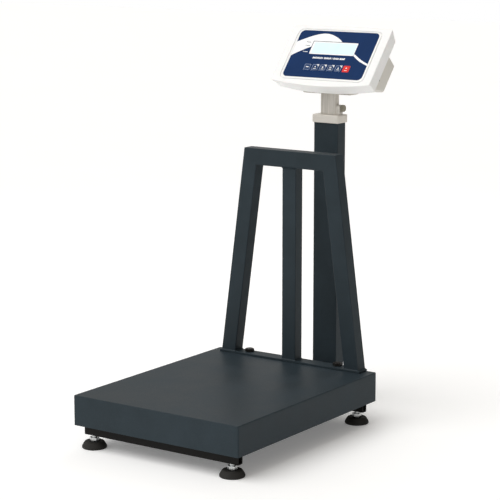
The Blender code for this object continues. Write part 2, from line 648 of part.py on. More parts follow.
def build_head(frame, looks):
    tilt = empty("head_tilt", tilt_axis_point(), frame, -TILT)
    front_shell(tilt, looks)
    rear_shell(tilt, looks)

    overlay = head_block("keypad_overlay", (-OVERLAY_HALF, OVERLAY_HALF), OVERLAY_SPAN, OVERLAY_SHEET,
                         OVERLAY_CORNER, looks["overlay_blue"], tilt)
    through = (-0.002, 0.002)
    boolean(overlay, head_block("overlay_window_cut", (-WINDOW_HALF - GAP, WINDOW_HALF + GAP),
                                (WINDOW_SPAN[0] - GAP, WINDOW_SPAN[1] + GAP), through, 0.0023, None, tilt))
    head_block("display_window", (-WINDOW_HALF, WINDOW_HALF), WINDOW_SPAN, WINDOW_SHEET, 0.002,
               looks["window"], tilt)
    half = KEY_SIZE / 2
    for number, u in enumerate(KEY_COLUMNS, start=1):
        last = number == len(KEY_COLUMNS)
        boolean(overlay, head_block(f"overlay_key_cut_{number}", (u - half - GAP, u + half + GAP),
                                    (KEY_ROW - half - GAP, KEY_ROW + half + GAP), through, 0.0023, None, tilt))
        head_block(f"key_{number}", (u - half, u + half), (KEY_ROW - half, KEY_ROW + half), KEY_SHEET, 0.002,
                   looks["key_red"] if last else looks["key_blue"], tilt)

    head_block("display_module", (-0.059, 0.059), (0.067, 0.109), (FRONT_WALL + GAP, 0.0105), 0.001,
               looks["board_green"], tilt)
    head_block("main_board", (-0.100, 0.100), (0.014, 0.126), (0.011, 0.0126), 0.003, looks["board_green"], tilt)
    head_block("battery_pack", (-0.047, 0.047), (0.052, 0.098), (0.044, 0.066), 0.004, looks["battery"], tilt)
    head_block("battery_cover", (-0.045, 0.045), (0.055, 0.095), (BOX_DEPTH - 0.0025, BOX_DEPTH), 0.003,
               looks["ivory_grey"], tilt)
    head_fasteners(tilt, looks)
    for name, up, bore in (("load_cell_socket", 0.062, 0.006), ("power_socket", 0.085, 0.0038)):
        side_socket(name, up, bore, tilt, looks)


def front_shell(tilt, looks):
    """An open-backed tray with draft, recessed for the overlay, the keys and the window."""
    rings = [
        in_head(face_outline(0.0014), 0.0), in_head(face_outline(0.0004), 0.0004),
        in_head(face_outline(0.0), 0.0014), in_head(face_outline(SHELL_DRAFT), SHELL_DEPTH),
        in_head(face_outline(SHELL_DRAFT + SHELL_WALL), SHELL_DEPTH),
        in_head(face_outline(SHELL_DRAFT + SHELL_WALL), SHELL_DEPTH - FLANGE_LAND),
        in_head(face_outline(SHELL_WALL), FRONT_WALL),
    ]
    shell = loft("front_shell", rings, looks["ivory"], tilt)
    recess_floor = OVERLAY_SHEET[1] + GAP
    boolean(shell, head_block("shell_recess", (-OVERLAY_HALF - GAP, OVERLAY_HALF + GAP),
                              (OVERLAY_SPAN[0] - GAP, OVERLAY_SPAN[1] + GAP), (-0.002, recess_floor),
                              OVERLAY_CORNER + GAP, None, tilt))
    boolean(shell, head_block("shell_window_seat", (-WINDOW_HALF - GAP, WINDOW_HALF + GAP),
                              (WINDOW_SPAN[0] - GAP, WINDOW_SPAN[1] + GAP), (-0.002, WINDOW_SHEET[1] + GAP),
                              0.0023, None, tilt))
    ledge = 0.003
    boolean(shell, head_block("shell_window_hole", (-WINDOW_HALF + ledge, WINDOW_HALF - ledge),
                              (WINDOW_SPAN[0] + ledge, WINDOW_SPAN[1] - ledge), (-0.002, 2 * FRONT_WALL), 0.002,
                              None, tilt))
    half = KEY_SIZE / 2 + GAP
    for number, u in enumerate(KEY_COLUMNS, start=1):
        boolean(shell, head_block(f"shell_key_pocket_{number}", (u - half, u + half),
                                  (KEY_ROW - half, KEY_ROW + half), (-0.002, KEY_POCKET_FLOOR), 0.0023, None, tilt))


def rear_shell(tilt, looks):
    """A flange that closes the front shell, a box behind it, and a pocket in its foot for the yoke."""
    flange = face_outline(SHELL_DRAFT + SHELL_WALL + GAP)
    flange_front = SHELL_DEPTH - FLANGE
    rings = [
        in_head(box_outline(1, SHELL_WALL), BOX_DEPTH - SHELL_WALL), in_head(box_outline(0, SHELL_WALL), flange_front),
        in_head(flange, flange_front), in_head(flange, SHELL_DEPTH),
        in_head(box_outline(0), SHELL_DEPTH), in_head(box_outline(1), BOX_DEPTH - 0.0015),
        in_head(box_outline(1, 0.0012), BOX_DEPTH),
    ]
    shell = loft("rear_shell", rings, looks["ivory_grey"], tilt)
    wall_front, wall_top = POCKET_FRONT - SHELL_WALL, POCKET_TOP + SHELL_WALL
    foot, skin = 0.0030, 0.0004
    well = [
        (wall_front, foot), (SHELL_DEPTH - skin, foot), (SHELL_DEPTH - skin, BOX_BOTTOM[0] + skin),
        (BOX_DEPTH - 0.002, BOX_BOTTOM[1] + skin), (BOX_DEPTH - 0.002, wall_top), (wall_front, wall_top),
    ]
    pocket = [(POCKET_FRONT, -0.020), (BOX_DEPTH + 0.01, -0.020), (BOX_DEPTH + 0.01, POCKET_TOP),
              (POCKET_FRONT, POCKET_TOP)]

    def head_side(points):
        return [(depth - PIVOT_DEPTH, up - PIVOT_UP) for depth, up in points]

    outer = POCKET_HALF + SHELL_WALL
    boolean(shell, cutter("pocket_walls", head_side(well), (-outer, outer), tilt, across=True), "UNION")
    boolean(shell, cutter("pocket_space", head_side(pocket), (-POCKET_HALF, POCKET_HALF), tilt, across=True))
    boolean(shell, head_block("battery_hatch", (-0.045 - GAP, 0.045 + GAP), (0.055 - GAP, 0.095 + GAP),
                              (BOX_DEPTH - 2 * SHELL_WALL, BOX_DEPTH + 0.01), 0.0033, None, tilt))
    screw_hole = circle(M5_RADIUS + GAP)
    boolean(shell, cutter("tilt_screw_hole", screw_hole, (-0.075, 0.075), tilt, across=True))
    return shell


def head_fasteners(tilt, looks):
    """The two screws on the tilt axis: head inside the yoke's ear, washer, and shank into the pocket's wall."""
    def disc(radius, x):
        return sideways(circle(radius), x)

    ear_inside, ear_outside = YOKE_HALF - YOKE_SHEET, YOKE_HALF
    for name, side in (("left", -1), ("right", 1)):
        profile = [
            (0.0042, ear_inside - GAP - 0.004), (0.005, ear_inside - GAP - 0.003), (0.005, ear_inside - GAP),
            (M5_RADIUS, ear_inside - GAP), (M5_RADIUS, ear_outside + GAP), (0.006, ear_outside + GAP),
            (0.006, POCKET_HALF - GAP), (M5_RADIUS, POCKET_HALF - GAP), (M5_RADIUS, POCKET_HALF + 0.008),
        ]
        loft(f"tilt_screw_{name}", [disc(radius, side * x) for radius, x in profile], looks["zinc"], tilt)


def side_socket(name, up, bore, tilt, looks):
    """A round socket through the box's left wall, hollow where its plug goes in."""
    depth = 0.053
    barrel, rim = bore + 0.002, bore + 0.004
    outer_face = -BOX_HALF[0] - 0.002
    rings = [
        (bore, outer_face + 0.010), (bore, outer_face), (rim - 0.0006, outer_face), (rim, outer_face + 0.0006),
        (rim, -BOX_HALF[0] - GAP / 2), (barrel, -BOX_HALF[0] - GAP / 2), (barrel, outer_face + 0.014),
    ]
    place = (0.0, depth - PIVOT_DEPTH, up - PIVOT_UP)
    loft(name, [sideways(circle(radius, steps=TURNED_STEPS), x) for radius, x in rings], looks["socket_black"],
         tilt, place)
    shell = bpy.data.objects["rear_shell"]
    hole = circle(barrel + GAP, (place[1], place[2]), TURNED_STEPS)
    boolean(shell, cutter(f"{name}_hole", hole, (-BOX_HALF[0] - 0.01, -BOX_HALF[1] + 0.01), tilt, across=True))


def main():
    for old in list(bpy.data.objects):
        bpy.data.objects.remove(old, do_unlink=True)
    looks = {
        "slate": material("slate powder coat", (58, 66, 71), 0.5),
        "frame_black": material("black powder coat", (33, 33, 33), 0.55),
        "rubber": material("black rubber", (38, 37, 35), 0.85),
        "zinc": material("zinc plate", (188, 190, 190), 0.35, 1.0),
        "bolt_black": material("blackened steel", (38, 38, 40), 0.45, 0.6),
        "aluminium": material("machined aluminium", (196, 198, 200), 0.4, 1.0),
        "ivory": material("ivory plastic", (236, 234, 224), 0.45),
        "ivory_grey": material("grey ivory plastic", (196, 190, 180), 0.5),
        "knob_khaki": material("khaki plastic", (128, 124, 112), 0.6),
        "overlay_blue": material("blue printed film", (33, 56, 95), 0.35),
        "key_blue": material("blue key film", (38, 62, 104), 0.35),
        "key_red": material("red key film", (214, 52, 44), 0.35),
        "window": material("clear window", (222, 246, 248), 0.1),
        "board_green": material("circuit board", (34, 84, 58), 0.5),
        "battery": material("battery wrap", (46, 48, 54), 0.5),
        "socket_black": material("socket plastic", (28, 28, 30), 0.45),
    }
    frame = empty("scale_frame", (0, -FOOTPRINT_DEPTH / 2, 0))
    cell = build_base(frame, looks)
    build_feet(frame, looks)
    build_platform(frame, looks, cell)
    build_neck(frame, looks)
    build_head(frame, looks)


main()
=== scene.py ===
import math

import bmesh
import bpy
from mathutils import Matrix, Vector


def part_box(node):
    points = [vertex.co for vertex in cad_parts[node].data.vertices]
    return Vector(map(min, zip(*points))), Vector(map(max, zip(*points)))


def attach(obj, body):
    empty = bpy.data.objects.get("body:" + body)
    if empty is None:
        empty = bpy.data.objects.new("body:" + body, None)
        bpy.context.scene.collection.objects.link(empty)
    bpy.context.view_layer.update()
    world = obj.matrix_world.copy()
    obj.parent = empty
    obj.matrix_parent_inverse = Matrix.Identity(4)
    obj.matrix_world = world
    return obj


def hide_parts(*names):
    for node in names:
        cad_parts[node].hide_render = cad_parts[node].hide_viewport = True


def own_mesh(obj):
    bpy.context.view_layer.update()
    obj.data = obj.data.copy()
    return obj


# Shipping scale: deck, load guard, column and tilting indicator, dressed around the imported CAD.
# Metres, +Z up, deck's front edge towards -Y.

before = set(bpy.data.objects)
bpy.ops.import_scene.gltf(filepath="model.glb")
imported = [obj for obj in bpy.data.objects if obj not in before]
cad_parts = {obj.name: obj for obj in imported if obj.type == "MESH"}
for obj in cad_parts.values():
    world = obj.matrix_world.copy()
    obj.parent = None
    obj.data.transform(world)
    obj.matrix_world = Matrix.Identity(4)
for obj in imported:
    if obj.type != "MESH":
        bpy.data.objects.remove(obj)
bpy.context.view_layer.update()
print("frame loaded:", len(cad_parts), "nodes")


# Nodes and colours

def hexColour(code):
    levels = [int(code[i:i + 2], 16) / 255 for i in (1, 3, 5)]
    return (*[c / 12.92 if c <= 0.04045 else ((c + 0.055) / 1.055) ** 2.4 for c in levels], 1.0)


def perMetre(spacingMm):
    return 1000 / spacingMm      # object coordinates are metres


def addNode(tree, kind, settings):
    # settings: the node's own options, or its sockets by name or number; a socket value is linked
    node = tree.nodes.new("ShaderNode" + kind)
    for key, value in settings.items():
        if isinstance(key, str) and hasattr(node, key):
            setattr(node, key, value)
        elif isinstance(value, bpy.types.NodeSocket):
            tree.links.new(value, node.inputs[key])
        else:
            node.inputs[key].default_value = value
    return node


def mixColours(tree, share, first, second):
    blend = {"data_type": "RGBA", 0: share, 6: hexColour(first), 7: hexColour(second)}
    return addNode(tree, "Mix", blend).outputs[2]


def noise(tree, place, spacingMm, detail, roughness=0.5):
    return addNode(tree, "TexNoise", {"Vector": place, "Scale": perMetre(spacingMm), "Detail": detail,
                                      "Roughness": roughness}).outputs["Fac"]


def spread(tree, value, fromLow, fromHigh, toLow=0.0, toHigh=1.0):
    return addNode(tree, "MapRange", {"Value": value, "From Min": fromLow, "From Max": fromHigh,
                                      "To Min": toLow, "To Max": toHigh}).outputs[0]


def startMaterial(name, settings):
    material = bpy.data.materials.new(name)
    material.use_nodes = True
    tree = material.node_tree
    shader = tree.nodes["Principled BSDF"]
    for socket, value in settings.items():
        shader.inputs[socket].default_value = value
    place = addNode(tree, "TexCoord", {}).outputs["Object"]
    return material, tree, shader, place


def surfaceMaterial(look):
    # tone drifts over toneMm; grain (spacing and depth in mm, change of tone) pits it; both move the gloss
    grainMm, grainDepthMm, fleckShare = look["grain"]
    material, tree, shader, place = startMaterial(look["name"], look["shader"])
    if "stretch" in look:
        place = addNode(tree, "Mapping", {"Vector": place, "Scale": look["stretch"]}).outputs[0]
    tone, grain = noise(tree, place, look["toneMm"], 3.0, 0.55), noise(tree, place, grainMm, 2.5, 0.6)
    body = mixColours(tree, spread(tree, tone, 0.32, 0.68), *look["colours"])
    fleck = spread(tree, grain, 0.35, 0.65, 1 - fleckShare, 1 + fleckShare)
    colour = addNode(tree, "VectorMath", {"operation": "SCALE", 0: body, "Scale": fleck}).outputs[0]
    tree.links.new(colour, shader.inputs["Base Color"])
    gloss = addNode(tree, "Math", {"operation": "ADD", 0: tone, 1: grain}).outputs[0]
    tree.links.new(spread(tree, gloss, 0.75, 1.25, *look["roughness"]), shader.inputs["Roughness"])
    bump = addNode(tree, "Bump", {"Height": grain, "Strength": 1.0, "Distance": grainDepthMm / 1000})
    tree.links.new(bump.outputs[0], shader.inputs["Normal"])
    return material, tree, shader, place


looks = {
    "slate": {
        # powder coat, sprayed and stoved: orange peel about 2.5 mm across blurs what it reflects
        "name": "slate powder coat, sprayed and stoved",
        "colours": ("#2b3439", "#303a40"), "toneMm": 90, "grain": (2.5, 0.035, 0.05),
        "roughness": (0.40, 0.50), "shader": {"IOR": 1.5, "Specular IOR Level": 0.11},
    },
    "frameBlack": {
        # powder coat, black and thinner, so its peel is finer and the eye gets a flatter black
        "name": "black powder coat, sprayed and stoved",
        "colours": ("#131312", "#191817"), "toneMm": 60, "grain": (2.0, 0.03, 0.07),
        "roughness": (0.48, 0.60), "shader": {"IOR": 1.5, "Specular IOR Level": 0.12},
    },
    "ivory": {
        # ABS, injection moulded in a spark-eroded tool: an even fine grain that kills the shine
        "name": "ivory ABS, injection moulded",
        "colours": ("#f2f2f0", "#f6f6f5"), "toneMm": 70, "grain": (1.1, 0.018, 0.012),
        "roughness": (0.42, 0.52),
        "shader": {"IOR": 1.54, "Subsurface Weight": 0.04, "Subsurface Scale": 0.002},
    },
    "greyIvory": {
        # ABS, moulded: a shade greyer than the front shell, and flatter
        "name": "grey ivory ABS, injection moulded",
        "colours": ("#dad7cf", "#e2dfd7"), "toneMm": 60, "grain": (1.1, 0.02, 0.02),
        "roughness": (0.48, 0.58), "shader": {"IOR": 1.54},
    },
    "cap": {
        # ABS with the case's grain, a little warmer than the rear shell
        "name": "warm ivory ABS, injection moulded",
        "colours": ("#dad4cb", "#e0dbd2"), "toneMm": 50, "grain": (1.1, 0.02, 0.02),
        "roughness": (0.46, 0.56), "shader": {"IOR": 1.54},
    },
    "neck": {
        # steel, drawn and painted: faint lines run along it, up the neck
        "name": "beige grey paint on drawn steel",
        "colours": ("#b8b3aa", "#d6d1c9"), "toneMm": 3.5, "grain": (1.2, 0.02, 0.05),
        "stretch": (1.0, 1.0, 0.03), "roughness": (0.42, 0.55), "shader": {"IOR": 1.5},
    },
    "khaki": {
        # nylon, moulded: greasy half-gloss with a little flow mottle
        "name": "khaki nylon, moulded",
        "colours": ("#858072", "#928d7b"), "toneMm": 6, "grain": (0.9, 0.02, 0.04),
        "roughness": (0.45, 0.60), "shader": {"IOR": 1.53},
    },
    "rubber": {
        # nitrile rubber, compression moulded: matt, a little dusty, faintly pitted
        "name": "black nitrile rubber, compression moulded",
        "colours": ("#262523", "#302f2d"), "toneMm": 14, "grain": (1.4, 0.06, 0.08),
        "roughness": (0.66, 0.86), "shader": {"IOR": 1.52, "Specular IOR Level": 0.2},
    },
    "zinc": {
        # steel, zinc plated and clear passivated: bright, with a slight bluish drift
        "name": "zinc plate on steel, clear passivated",
        "colours": ("#b9bdc0", "#d3d4d2"), "toneMm": 5, "grain": (0.8, 0.015, 0.05),
        "roughness": (0.20, 0.36), "shader": {"Metallic": 1.0},
    },
    "blackSteel": {
        # steel, hot blackened: dark oxide that still turns to metal in the highlights
        "name": "blackened steel, oil quenched",
        "colours": ("#171513", "#201d1a"), "toneMm": 4, "grain": (0.7, 0.02, 0.10),
        "roughness": (0.38, 0.54), "shader": {"Metallic": 0.55},
    },
    "aluminium": {
        # aluminium, face milled: cutter marks 1.2 mm apart lie across the bar
        "name": "aluminium alloy, face milled",
        "colours": ("#b9bcbf", "#cbcdd0"), "toneMm": 12, "grain": (1.2, 0.02, 0.04),
        "stretch": (0.05, 1.0, 1.0), "roughness": (0.28, 0.42), "shader": {"Metallic": 1.0},
    },
    "socket": {
        # PBT, moulded: the sockets' dense near-black plastic
        "name": "black PBT, injection moulded",
        "colours": ("#17171a", "#1f1f22"), "toneMm": 8, "grain": (0.9, 0.015, 0.04),
        "roughness": (0.38, 0.50), "shader": {"IOR": 1.55},
    },
    "overlay": {
        # polyester film, back printed: the colour sits under a thin clear hardcoat with a light satin ripple
        "name": "navy polyester film, back printed",
        "colours": ("#1a335c", "#1d3661"), "toneMm": 45, "grain": (1.3, 0.008, 0.012),
        "roughness": (0.42, 0.50), "shader": {"IOR": 1.5, "Specular IOR Level": 0.03},
    },
    "keyBlue": {
        # polyester film, embossed over the key: the dome catches a softer light than the flat film
        "name": "blue polyester film, embossed",
        "colours": ("#1d375f", "#213d67"), "toneMm": 9, "grain": (1.2, 0.008, 0.015),
        "roughness": (0.34, 0.44), "shader": {"IOR": 1.5, "Specular IOR Level": 0.06},
    },
    "keyRed": {
        # polyester film, embossed, in warm red ink
        "name": "red polyester film, embossed",
        "colours": ("#dc2a25", "#e4332b"), "toneMm": 9, "grain": (1.2, 0.008, 0.015),
        "roughness": (0.34, 0.44), "shader": {"IOR": 1.5, "Specular IOR Level": 0.15},
    },
    "whiteInk": {
        # screen ink, printed thick: chalky white, a little uneven where the mesh laid it down
        "name": "white screen ink, printed",
        "colours": ("#f4f5f5", "#ffffff"), "toneMm": 10, "grain": (0.9, 0.006, 0.012),
        "roughness": (0.44, 0.54), "shader": {"IOR": 1.48},
    },
    "paleInk": {
        # screen ink, a thin lilac-grey line round each key
        "name": "pale blue screen ink, printed",
        "colours": ("#97a6c8", "#aab8d4"), "toneMm": 10, "grain": (0.9, 0.006, 0.03),
        "roughness": (0.44, 0.54), "shader": {"IOR": 1.48},
    },
    "darkInk": {
        # screen ink, near-black blue; the same colour also paints the shadow along the window's top and left
        # edges
        "name": "dark screen ink, printed, also painted window shadow",
        "colours": ("#141b2a", "#1a2333"), "toneMm": 10, "grain": (0.9, 0.006, 0.05),
        "roughness": (0.44, 0.54), "shader": {"IOR": 1.48, "Specular IOR Level": 0.15},
    },
    "board": {
        # epoxy board under solder mask: glossy green with the copper's pattern pressing through
        "name": "green solder mask on epoxy board",
        "colours": ("#17402b", "#2f7449"), "toneMm": 3, "grain": (1.0, 0.03, 0.06),
        "roughness": (0.25, 0.38), "shader": {"IOR": 1.5},
    },
    "battery": {
        # PVC sleeve, shrunk: shiny and slightly wrinkled
        "name": "charcoal PVC sleeve, shrunk on",
        "colours": ("#2b2e33", "#363a40"), "toneMm": 12, "grain": (5, 0.12, 0.04),
        "roughness": (0.25, 0.40), "shader": {"IOR": 1.53},
    },
}
finishes = {title: surfaceMaterial(look)[0] for title, look in looks.items()}

lcdLook = {
    # liquid crystal cell, backlit, behind clear acrylic: pale cyan, with rows of dots too faint to read.
    # real dots are 0.4 mm apart; drawn 1.6 mm apart so that they show
    "name": "backlit LCD behind clear acrylic", "dark": "#cfeef2", "light": "#dcf6f8", "dotMm": 1.6,
    "glow": 0.06, "tilt": 40.4,
}


def lcdMaterial(look):
    material, tree, shader, place = startMaterial(look["name"], {
        "Roughness": 0.3, "IOR": 1.49, "Coat Weight": 0.25, "Coat Roughness": 0.08,
        "Emission Strength": look["glow"],
    })
    upright = (math.radians(look["tilt"] - 90), 0, 0)
    place = addNode(tree, "Mapping", {"Vector": place, "Rotation": upright}).outputs[0]
    dots = addNode(tree, "TexVoronoi", {
        "Vector": place, "Scale": perMetre(look["dotMm"]), "Randomness": 0.0, "distance": "CHEBYCHEV",
    }).outputs["Distance"]
    drift = noise(tree, place, 25, 2.0)
    faint = addNode(tree, "Math", {"operation": "MULTIPLY_ADD", 0: dots, 1: 0.5, 2: drift}).outputs[0]
    colour = mixColours(tree, spread(tree, faint, 0.35, 0.95), look["light"], look["dark"])
    tree.links.new(colour, shader.inputs["Base Color"])
    tree.links.new(colour, shader.inputs["Emission Color"])
    bump = addNode(tree, "Bump", {"Height": drift, "Strength": 0.4, "Distance": 0.00005})
    tree.links.new(bump.outputs[0], shader.inputs["Normal"])
    return material


finishes["lcd"] = lcdMaterial(lcdLook)
print("finishes made:", len(finishes))


# Mesh tools

def roundedRect(low, high, radius, steps=6):
    points = []
    for quarter, (sideX, sideY) in enumerate(((1, 1), (-1, 1), (-1, -1), (1, -1))):
        x = (high[0] if sideX > 0 else low[0]) - sideX * radius
        y = (high[1] if sideY > 0 else low[1]) - sideY * radius
        for step in range(steps + 1):
            angle = math.pi / 2 * (quarter + step / steps)
            points.append((x + radius * math.cos(angle), y + radius * math.sin(angle)))
    return points


def circle(radius, steps, centre=(0, 0)):
    turns = [2 * math.pi * step / steps for step in range(steps)]
    return [(centre[0] + radius * math.cos(a), centre[1] + radius * math.sin(a)) for a in turns]


def atHeight(points, z):
    return [(x, y, z) for x, y in points]


def slabRing(low, high, inset, radius, z, steps=6):
    return atHeight(roundedRect((low[0] + inset, low[1] + inset), (high[0] - inset, high[1] - inset), radius,
                                steps), z)


def quarterArc(radius, steps):
    # (inset, drop) pairs round a folded edge, from the flat top to the upright side
    return [(radius * (1 - math.sin(math.pi / 2 * s / steps)),
             radius * (1 - math.cos(math.pi / 2 * s / steps)))
            for s in range(steps + 1)]


def addObject(name, data):
    added = bpy.data.objects.new(name, data)
    bpy.context.scene.collection.objects.link(added)
    return added


def aimAlong(item, direction):
    item.rotation_mode = "QUATERNION"
    item.rotation_quaternion = Vector(direction).to_track_quat("-Z", "Y")


def overMiddle(node):
    low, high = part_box(node)
    return Matrix.Translation(((low.x + high.x) / 2, (low.y + high.y) / 2, 0))


def loft(name, rings, closed=False, matrix=None):
    mesh = bpy.data.meshes.new(name)
    bm = bmesh.new()
    loops = [[bm.verts.new(point) for point in ring] for ring in rings]
    following = loops[1:] + [loops[0]] if closed else loops[1:]
    for lower, upper in zip(loops, following):
        for i in range(len(lower)):
            j = (i + 1) % len(lower)
            bm.faces.new((lower[i], lower[j], upper[j], upper[i]))
    if not closed:
        bm.faces.new(loops[0][::-1])
        bm.faces.new(loops[-1])
    bmesh.ops.recalc_face_normals(bm, faces=bm.faces)
    bm.to_mesh(mesh)
    bm.free()
    if matrix:
        mesh.transform(matrix)
    return addObject(name, mesh)


def joinPieces(name, parts):
    # several loose bodies in one piece, such as the marks of one print
    bm = bmesh.new()
    for part in parts:
        bm.from_mesh(part.data)
        bpy.data.objects.remove(part)
    mesh = bpy.data.meshes.new(name)
    bm.to_mesh(mesh)
    bm.free()
    return addObject(name, mesh)


def cutWith(piece, tools, operation="DIFFERENCE"):
    for tool in tools:
        step = piece.modifiers.new(tool.name, "BOOLEAN")
        step.operation, step.solver, step.object = operation, "EXACT", tool
    bpy.context.view_layer.update()
    evaluated = piece.evaluated_get(bpy.context.evaluated_depsgraph_get())
    cutMesh = bpy.data.meshes.new_from_object(evaluated)
    piece.modifiers.clear()
    piece.data = cutMesh
    for tool in tools:
        bpy.data.objects.remove(tool)


def dress(piece, finish, body, standsFor=(), sharp=32):
    piece.data.materials.clear()
    piece.data.materials.append(finishes[finish])
    piece.data.shade_smooth()
    piece.data.set_sharp_from_angle(angle=math.radians(sharp))
    even = piece.modifiers.new("evenNormals", "WEIGHTED_NORMAL")
    even.keep_sharp = True
    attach(piece, body)
    if standsFor:
        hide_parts(*standsFor)
    return piece


def tubeRing(outline, point, along, widthAxis, normal):
    depthAxis = along.cross(widthAxis)
    ring = []
    for w, d in outline:
        offset = widthAxis * w + depthAxis * d
        ring.append(point + offset - along * (offset.dot(normal) / along.dot(normal)))
    return ring


def tube(name, start, end, widthAxis, size, section, ends=None):
    # open rectangular tube; ends are the normals of its two cut planes
    start, end, widthAxis = Vector(start), Vector(end), Vector(widthAxis)
    along = (end - start).normalized()
    planes = [Vector(plane) for plane in ends] if ends else (along, along)
    half = (size[0] / 2, size[1] / 2)
    rings = []
    lip = section["lip"]
    for inset, radius, order in ((0, section["radius"], 1),
                                 (section["wall"], section["radius"] - 0.0009, -1)):
        low, high = (-half[0] + inset, -half[1] + inset), (half[0] - inset, half[1] - inset)
        outline = roundedRect(low, high, radius)
        shy = roundedRect((low[0] + lip * order, low[1] + lip * order),
                          (high[0] - lip * order, high[1] - lip * order),
                          max(radius - lip * order, 0.0003))
        pair = [
            tubeRing(shy, start, along, widthAxis, planes[0]),
            tubeRing(outline, start + along * lip, along, widthAxis, planes[0]),
            tubeRing(outline, end - along * lip, along, widthAxis, planes[1]),
            tubeRing(shy, end, along, widthAxis, planes[1]),
        ]
        rings += pair if order > 0 else pair[::-1]
    return loft(name, rings, closed=True)


def evenly(ring, spacing):
    # points a fixed way apart round a closed ring
    points = []
    for a, b in zip(ring, ring[1:] + ring[:1]):
        a, b = Vector(a), Vector(b)
        count = max(1, round((b - a).length / spacing))
        points += [a.lerp(b, step / count) for step in range(count)]
    return points


def weldBead(name, ring, up, size):
    # a fillet with ripples, laid round a foot; up points away from the plate
    up = Vector(up)
    path = evenly(ring, size["step"])
    middle = sum(path, Vector()) / len(path)
    rings, travelled, hidden = [], 0.0, -0.0004
    for i, point in enumerate(path):
        before, after = path[i - 1], path[(i + 1) % len(path)]
        travelled += (point - before).length
        out = (after - before).cross(up).normalized()
        if out.dot(point - middle) < 0:
            out.negate()
        leg = size["leg"] * (1 + size["ripple"] * math.sin(2 * math.pi * travelled / size["pitch"]))
        rings.append([point + out * a * leg + up * b * leg + (out + up) * c * hidden for a, b, c in (
            (0, 1, 0), (0.30, 0.74, 0), (0.60, 0.48, 0), (0.82, 0.22, 0), (1, 0, 0), (0, 0, 1))])
    return loft(name, rings, closed=True)


# Camera, floor and light

camera = {
    "place": (2.14023, -3.11162, 1.07259), "azimuth": 34.738, "elevation": 10.564, "lens": 134.87,
    "sensor": 36.0,
}
turn, rise = math.radians(camera["azimuth"]), math.radians(camera["elevation"])
lookBack = Vector((math.sin(turn) * math.cos(rise), -math.cos(turn) * math.cos(rise), math.sin(rise)))
cameraData = bpy.data.cameras.new("camera")
cameraData.lens, cameraData.sensor_width = camera["lens"], camera["sensor"]
cameraData.clip_end = 50
cameraObject = addObject("camera", cameraData)
cameraObject.location = camera["place"]
aimAlong(cameraObject, -lookBack)
bpy.context.scene.camera = cameraObject

studio = {
    "floorHalf": 12.0, "floor": ("#fafaf9", "#fdfdfd"), "floorGlow": 0.17, "skySeen": 1.0,
    "skyLight": (0.10, 0.97), "skyFrom": (-0.8, -0.6, 0.0),
    "skyTint": ("#fff6ea", "#fdfeff"),
    # the key is a wide overhead bank, to the front left; the rim, behind, is for the edges of the guard
    "key": {"towards": (0.30, 0.42, -1.0), "strength": 1.30, "softness": 50},
    "rim": {"place": (-0.9, 1.7, 1.9), "size": 1.2, "power": 6},
}
floorMaterial, floorTree, floorShader, floorPlace = startMaterial(
    "studio floor, matt paint", {"Roughness": 0.9})
floorColour = mixColours(floorTree, noise(floorTree, floorPlace, 400, 2.0), *studio["floor"])
floorTree.links.new(floorColour, floorShader.inputs["Base Color"])
floorShader.inputs["Emission Color"].default_value = hexColour("#ffffff")
floorShader.inputs["Emission Strength"].default_value = studio["floorGlow"]
reach = studio["floorHalf"]
floorMesh = bpy.data.meshes.new("floor")
floorMesh.from_pydata([(-reach, -reach, 0), (reach, -reach, 0), (reach, reach, 0), (-reach, reach, 0)], [],
                      [(0, 1, 2, 3)])
floorMesh.materials.append(floorMaterial)
addObject("floor", floorMesh)

sky = bpy.data.worlds.new("studio")
sky.use_nodes = True
skyTree = sky.node_tree
seen = addNode(skyTree, "LightPath", {}).outputs["Is Camera Ray"]
# the sky looks white, but lights most from the front left and least, a little warmer, from the back right
across = addNode(skyTree, "VectorMath", {
    "operation": "DOT_PRODUCT", 0: addNode(skyTree, "TexCoord", {}).outputs["Generated"],
    1: studio["skyFrom"],
}).outputs["Value"]
share = spread(skyTree, across, -1.0, 1.0)
lit = addNode(skyTree, "Mix", {0: share, 2: studio["skyLight"][0], 3: studio["skyLight"][1]}).outputs[0]
tint = mixColours(skyTree, share, *studio["skyTint"])
skyWhite = {"data_type": "RGBA", 0: seen, 6: tint, 7: hexColour("#ffffff")}
skyColour = addNode(skyTree, "Mix", skyWhite).outputs[2]
skyStrength = addNode(skyTree, "Mix", {0: seen, 2: lit, 3: studio["skySeen"]}).outputs[0]
background = skyTree.nodes["Background"]
skyTree.links.new(skyColour, background.inputs["Color"])
skyTree.links.new(skyStrength, background.inputs["Strength"])
bpy.context.scene.world = sky
bpy.context.scene.view_settings.view_transform = "Standard"
keyLight = bpy.data.lights.new("key", "SUN")
keyLight.energy, keyLight.angle = studio["key"]["strength"], math.radians(studio["key"]["softness"])
rimLight = bpy.data.lights.new("rim", "AREA")
rimLight.shape, rimLight.size, rimLight.energy = "DISK", studio["rim"]["size"], studio["rim"]["power"]
aims = ((keyLight, (0, 0, 3), studio["key"]["towards"]),
        (rimLight, studio["rim"]["place"], Vector((0, 0.1, 0.35)) - Vector(studio["rim"]["place"])))
for light, place, direction in aims:
    lamp = addObject(light.name, light)
    lamp.location = place
    aimAlong(lamp, direction)
print("camera, floor and lights set")


# Deck

deck = {"fold": 0.0022, "corner": 0.0034, "sheet": 0.002, "hem": 0.0004, "steps": 5}
low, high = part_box("deck_tray")


def deckRing(inset, z):
    radius = max(deck["corner"] - inset, 0.0010)
    return slabRing(low, high, inset, radius, z)


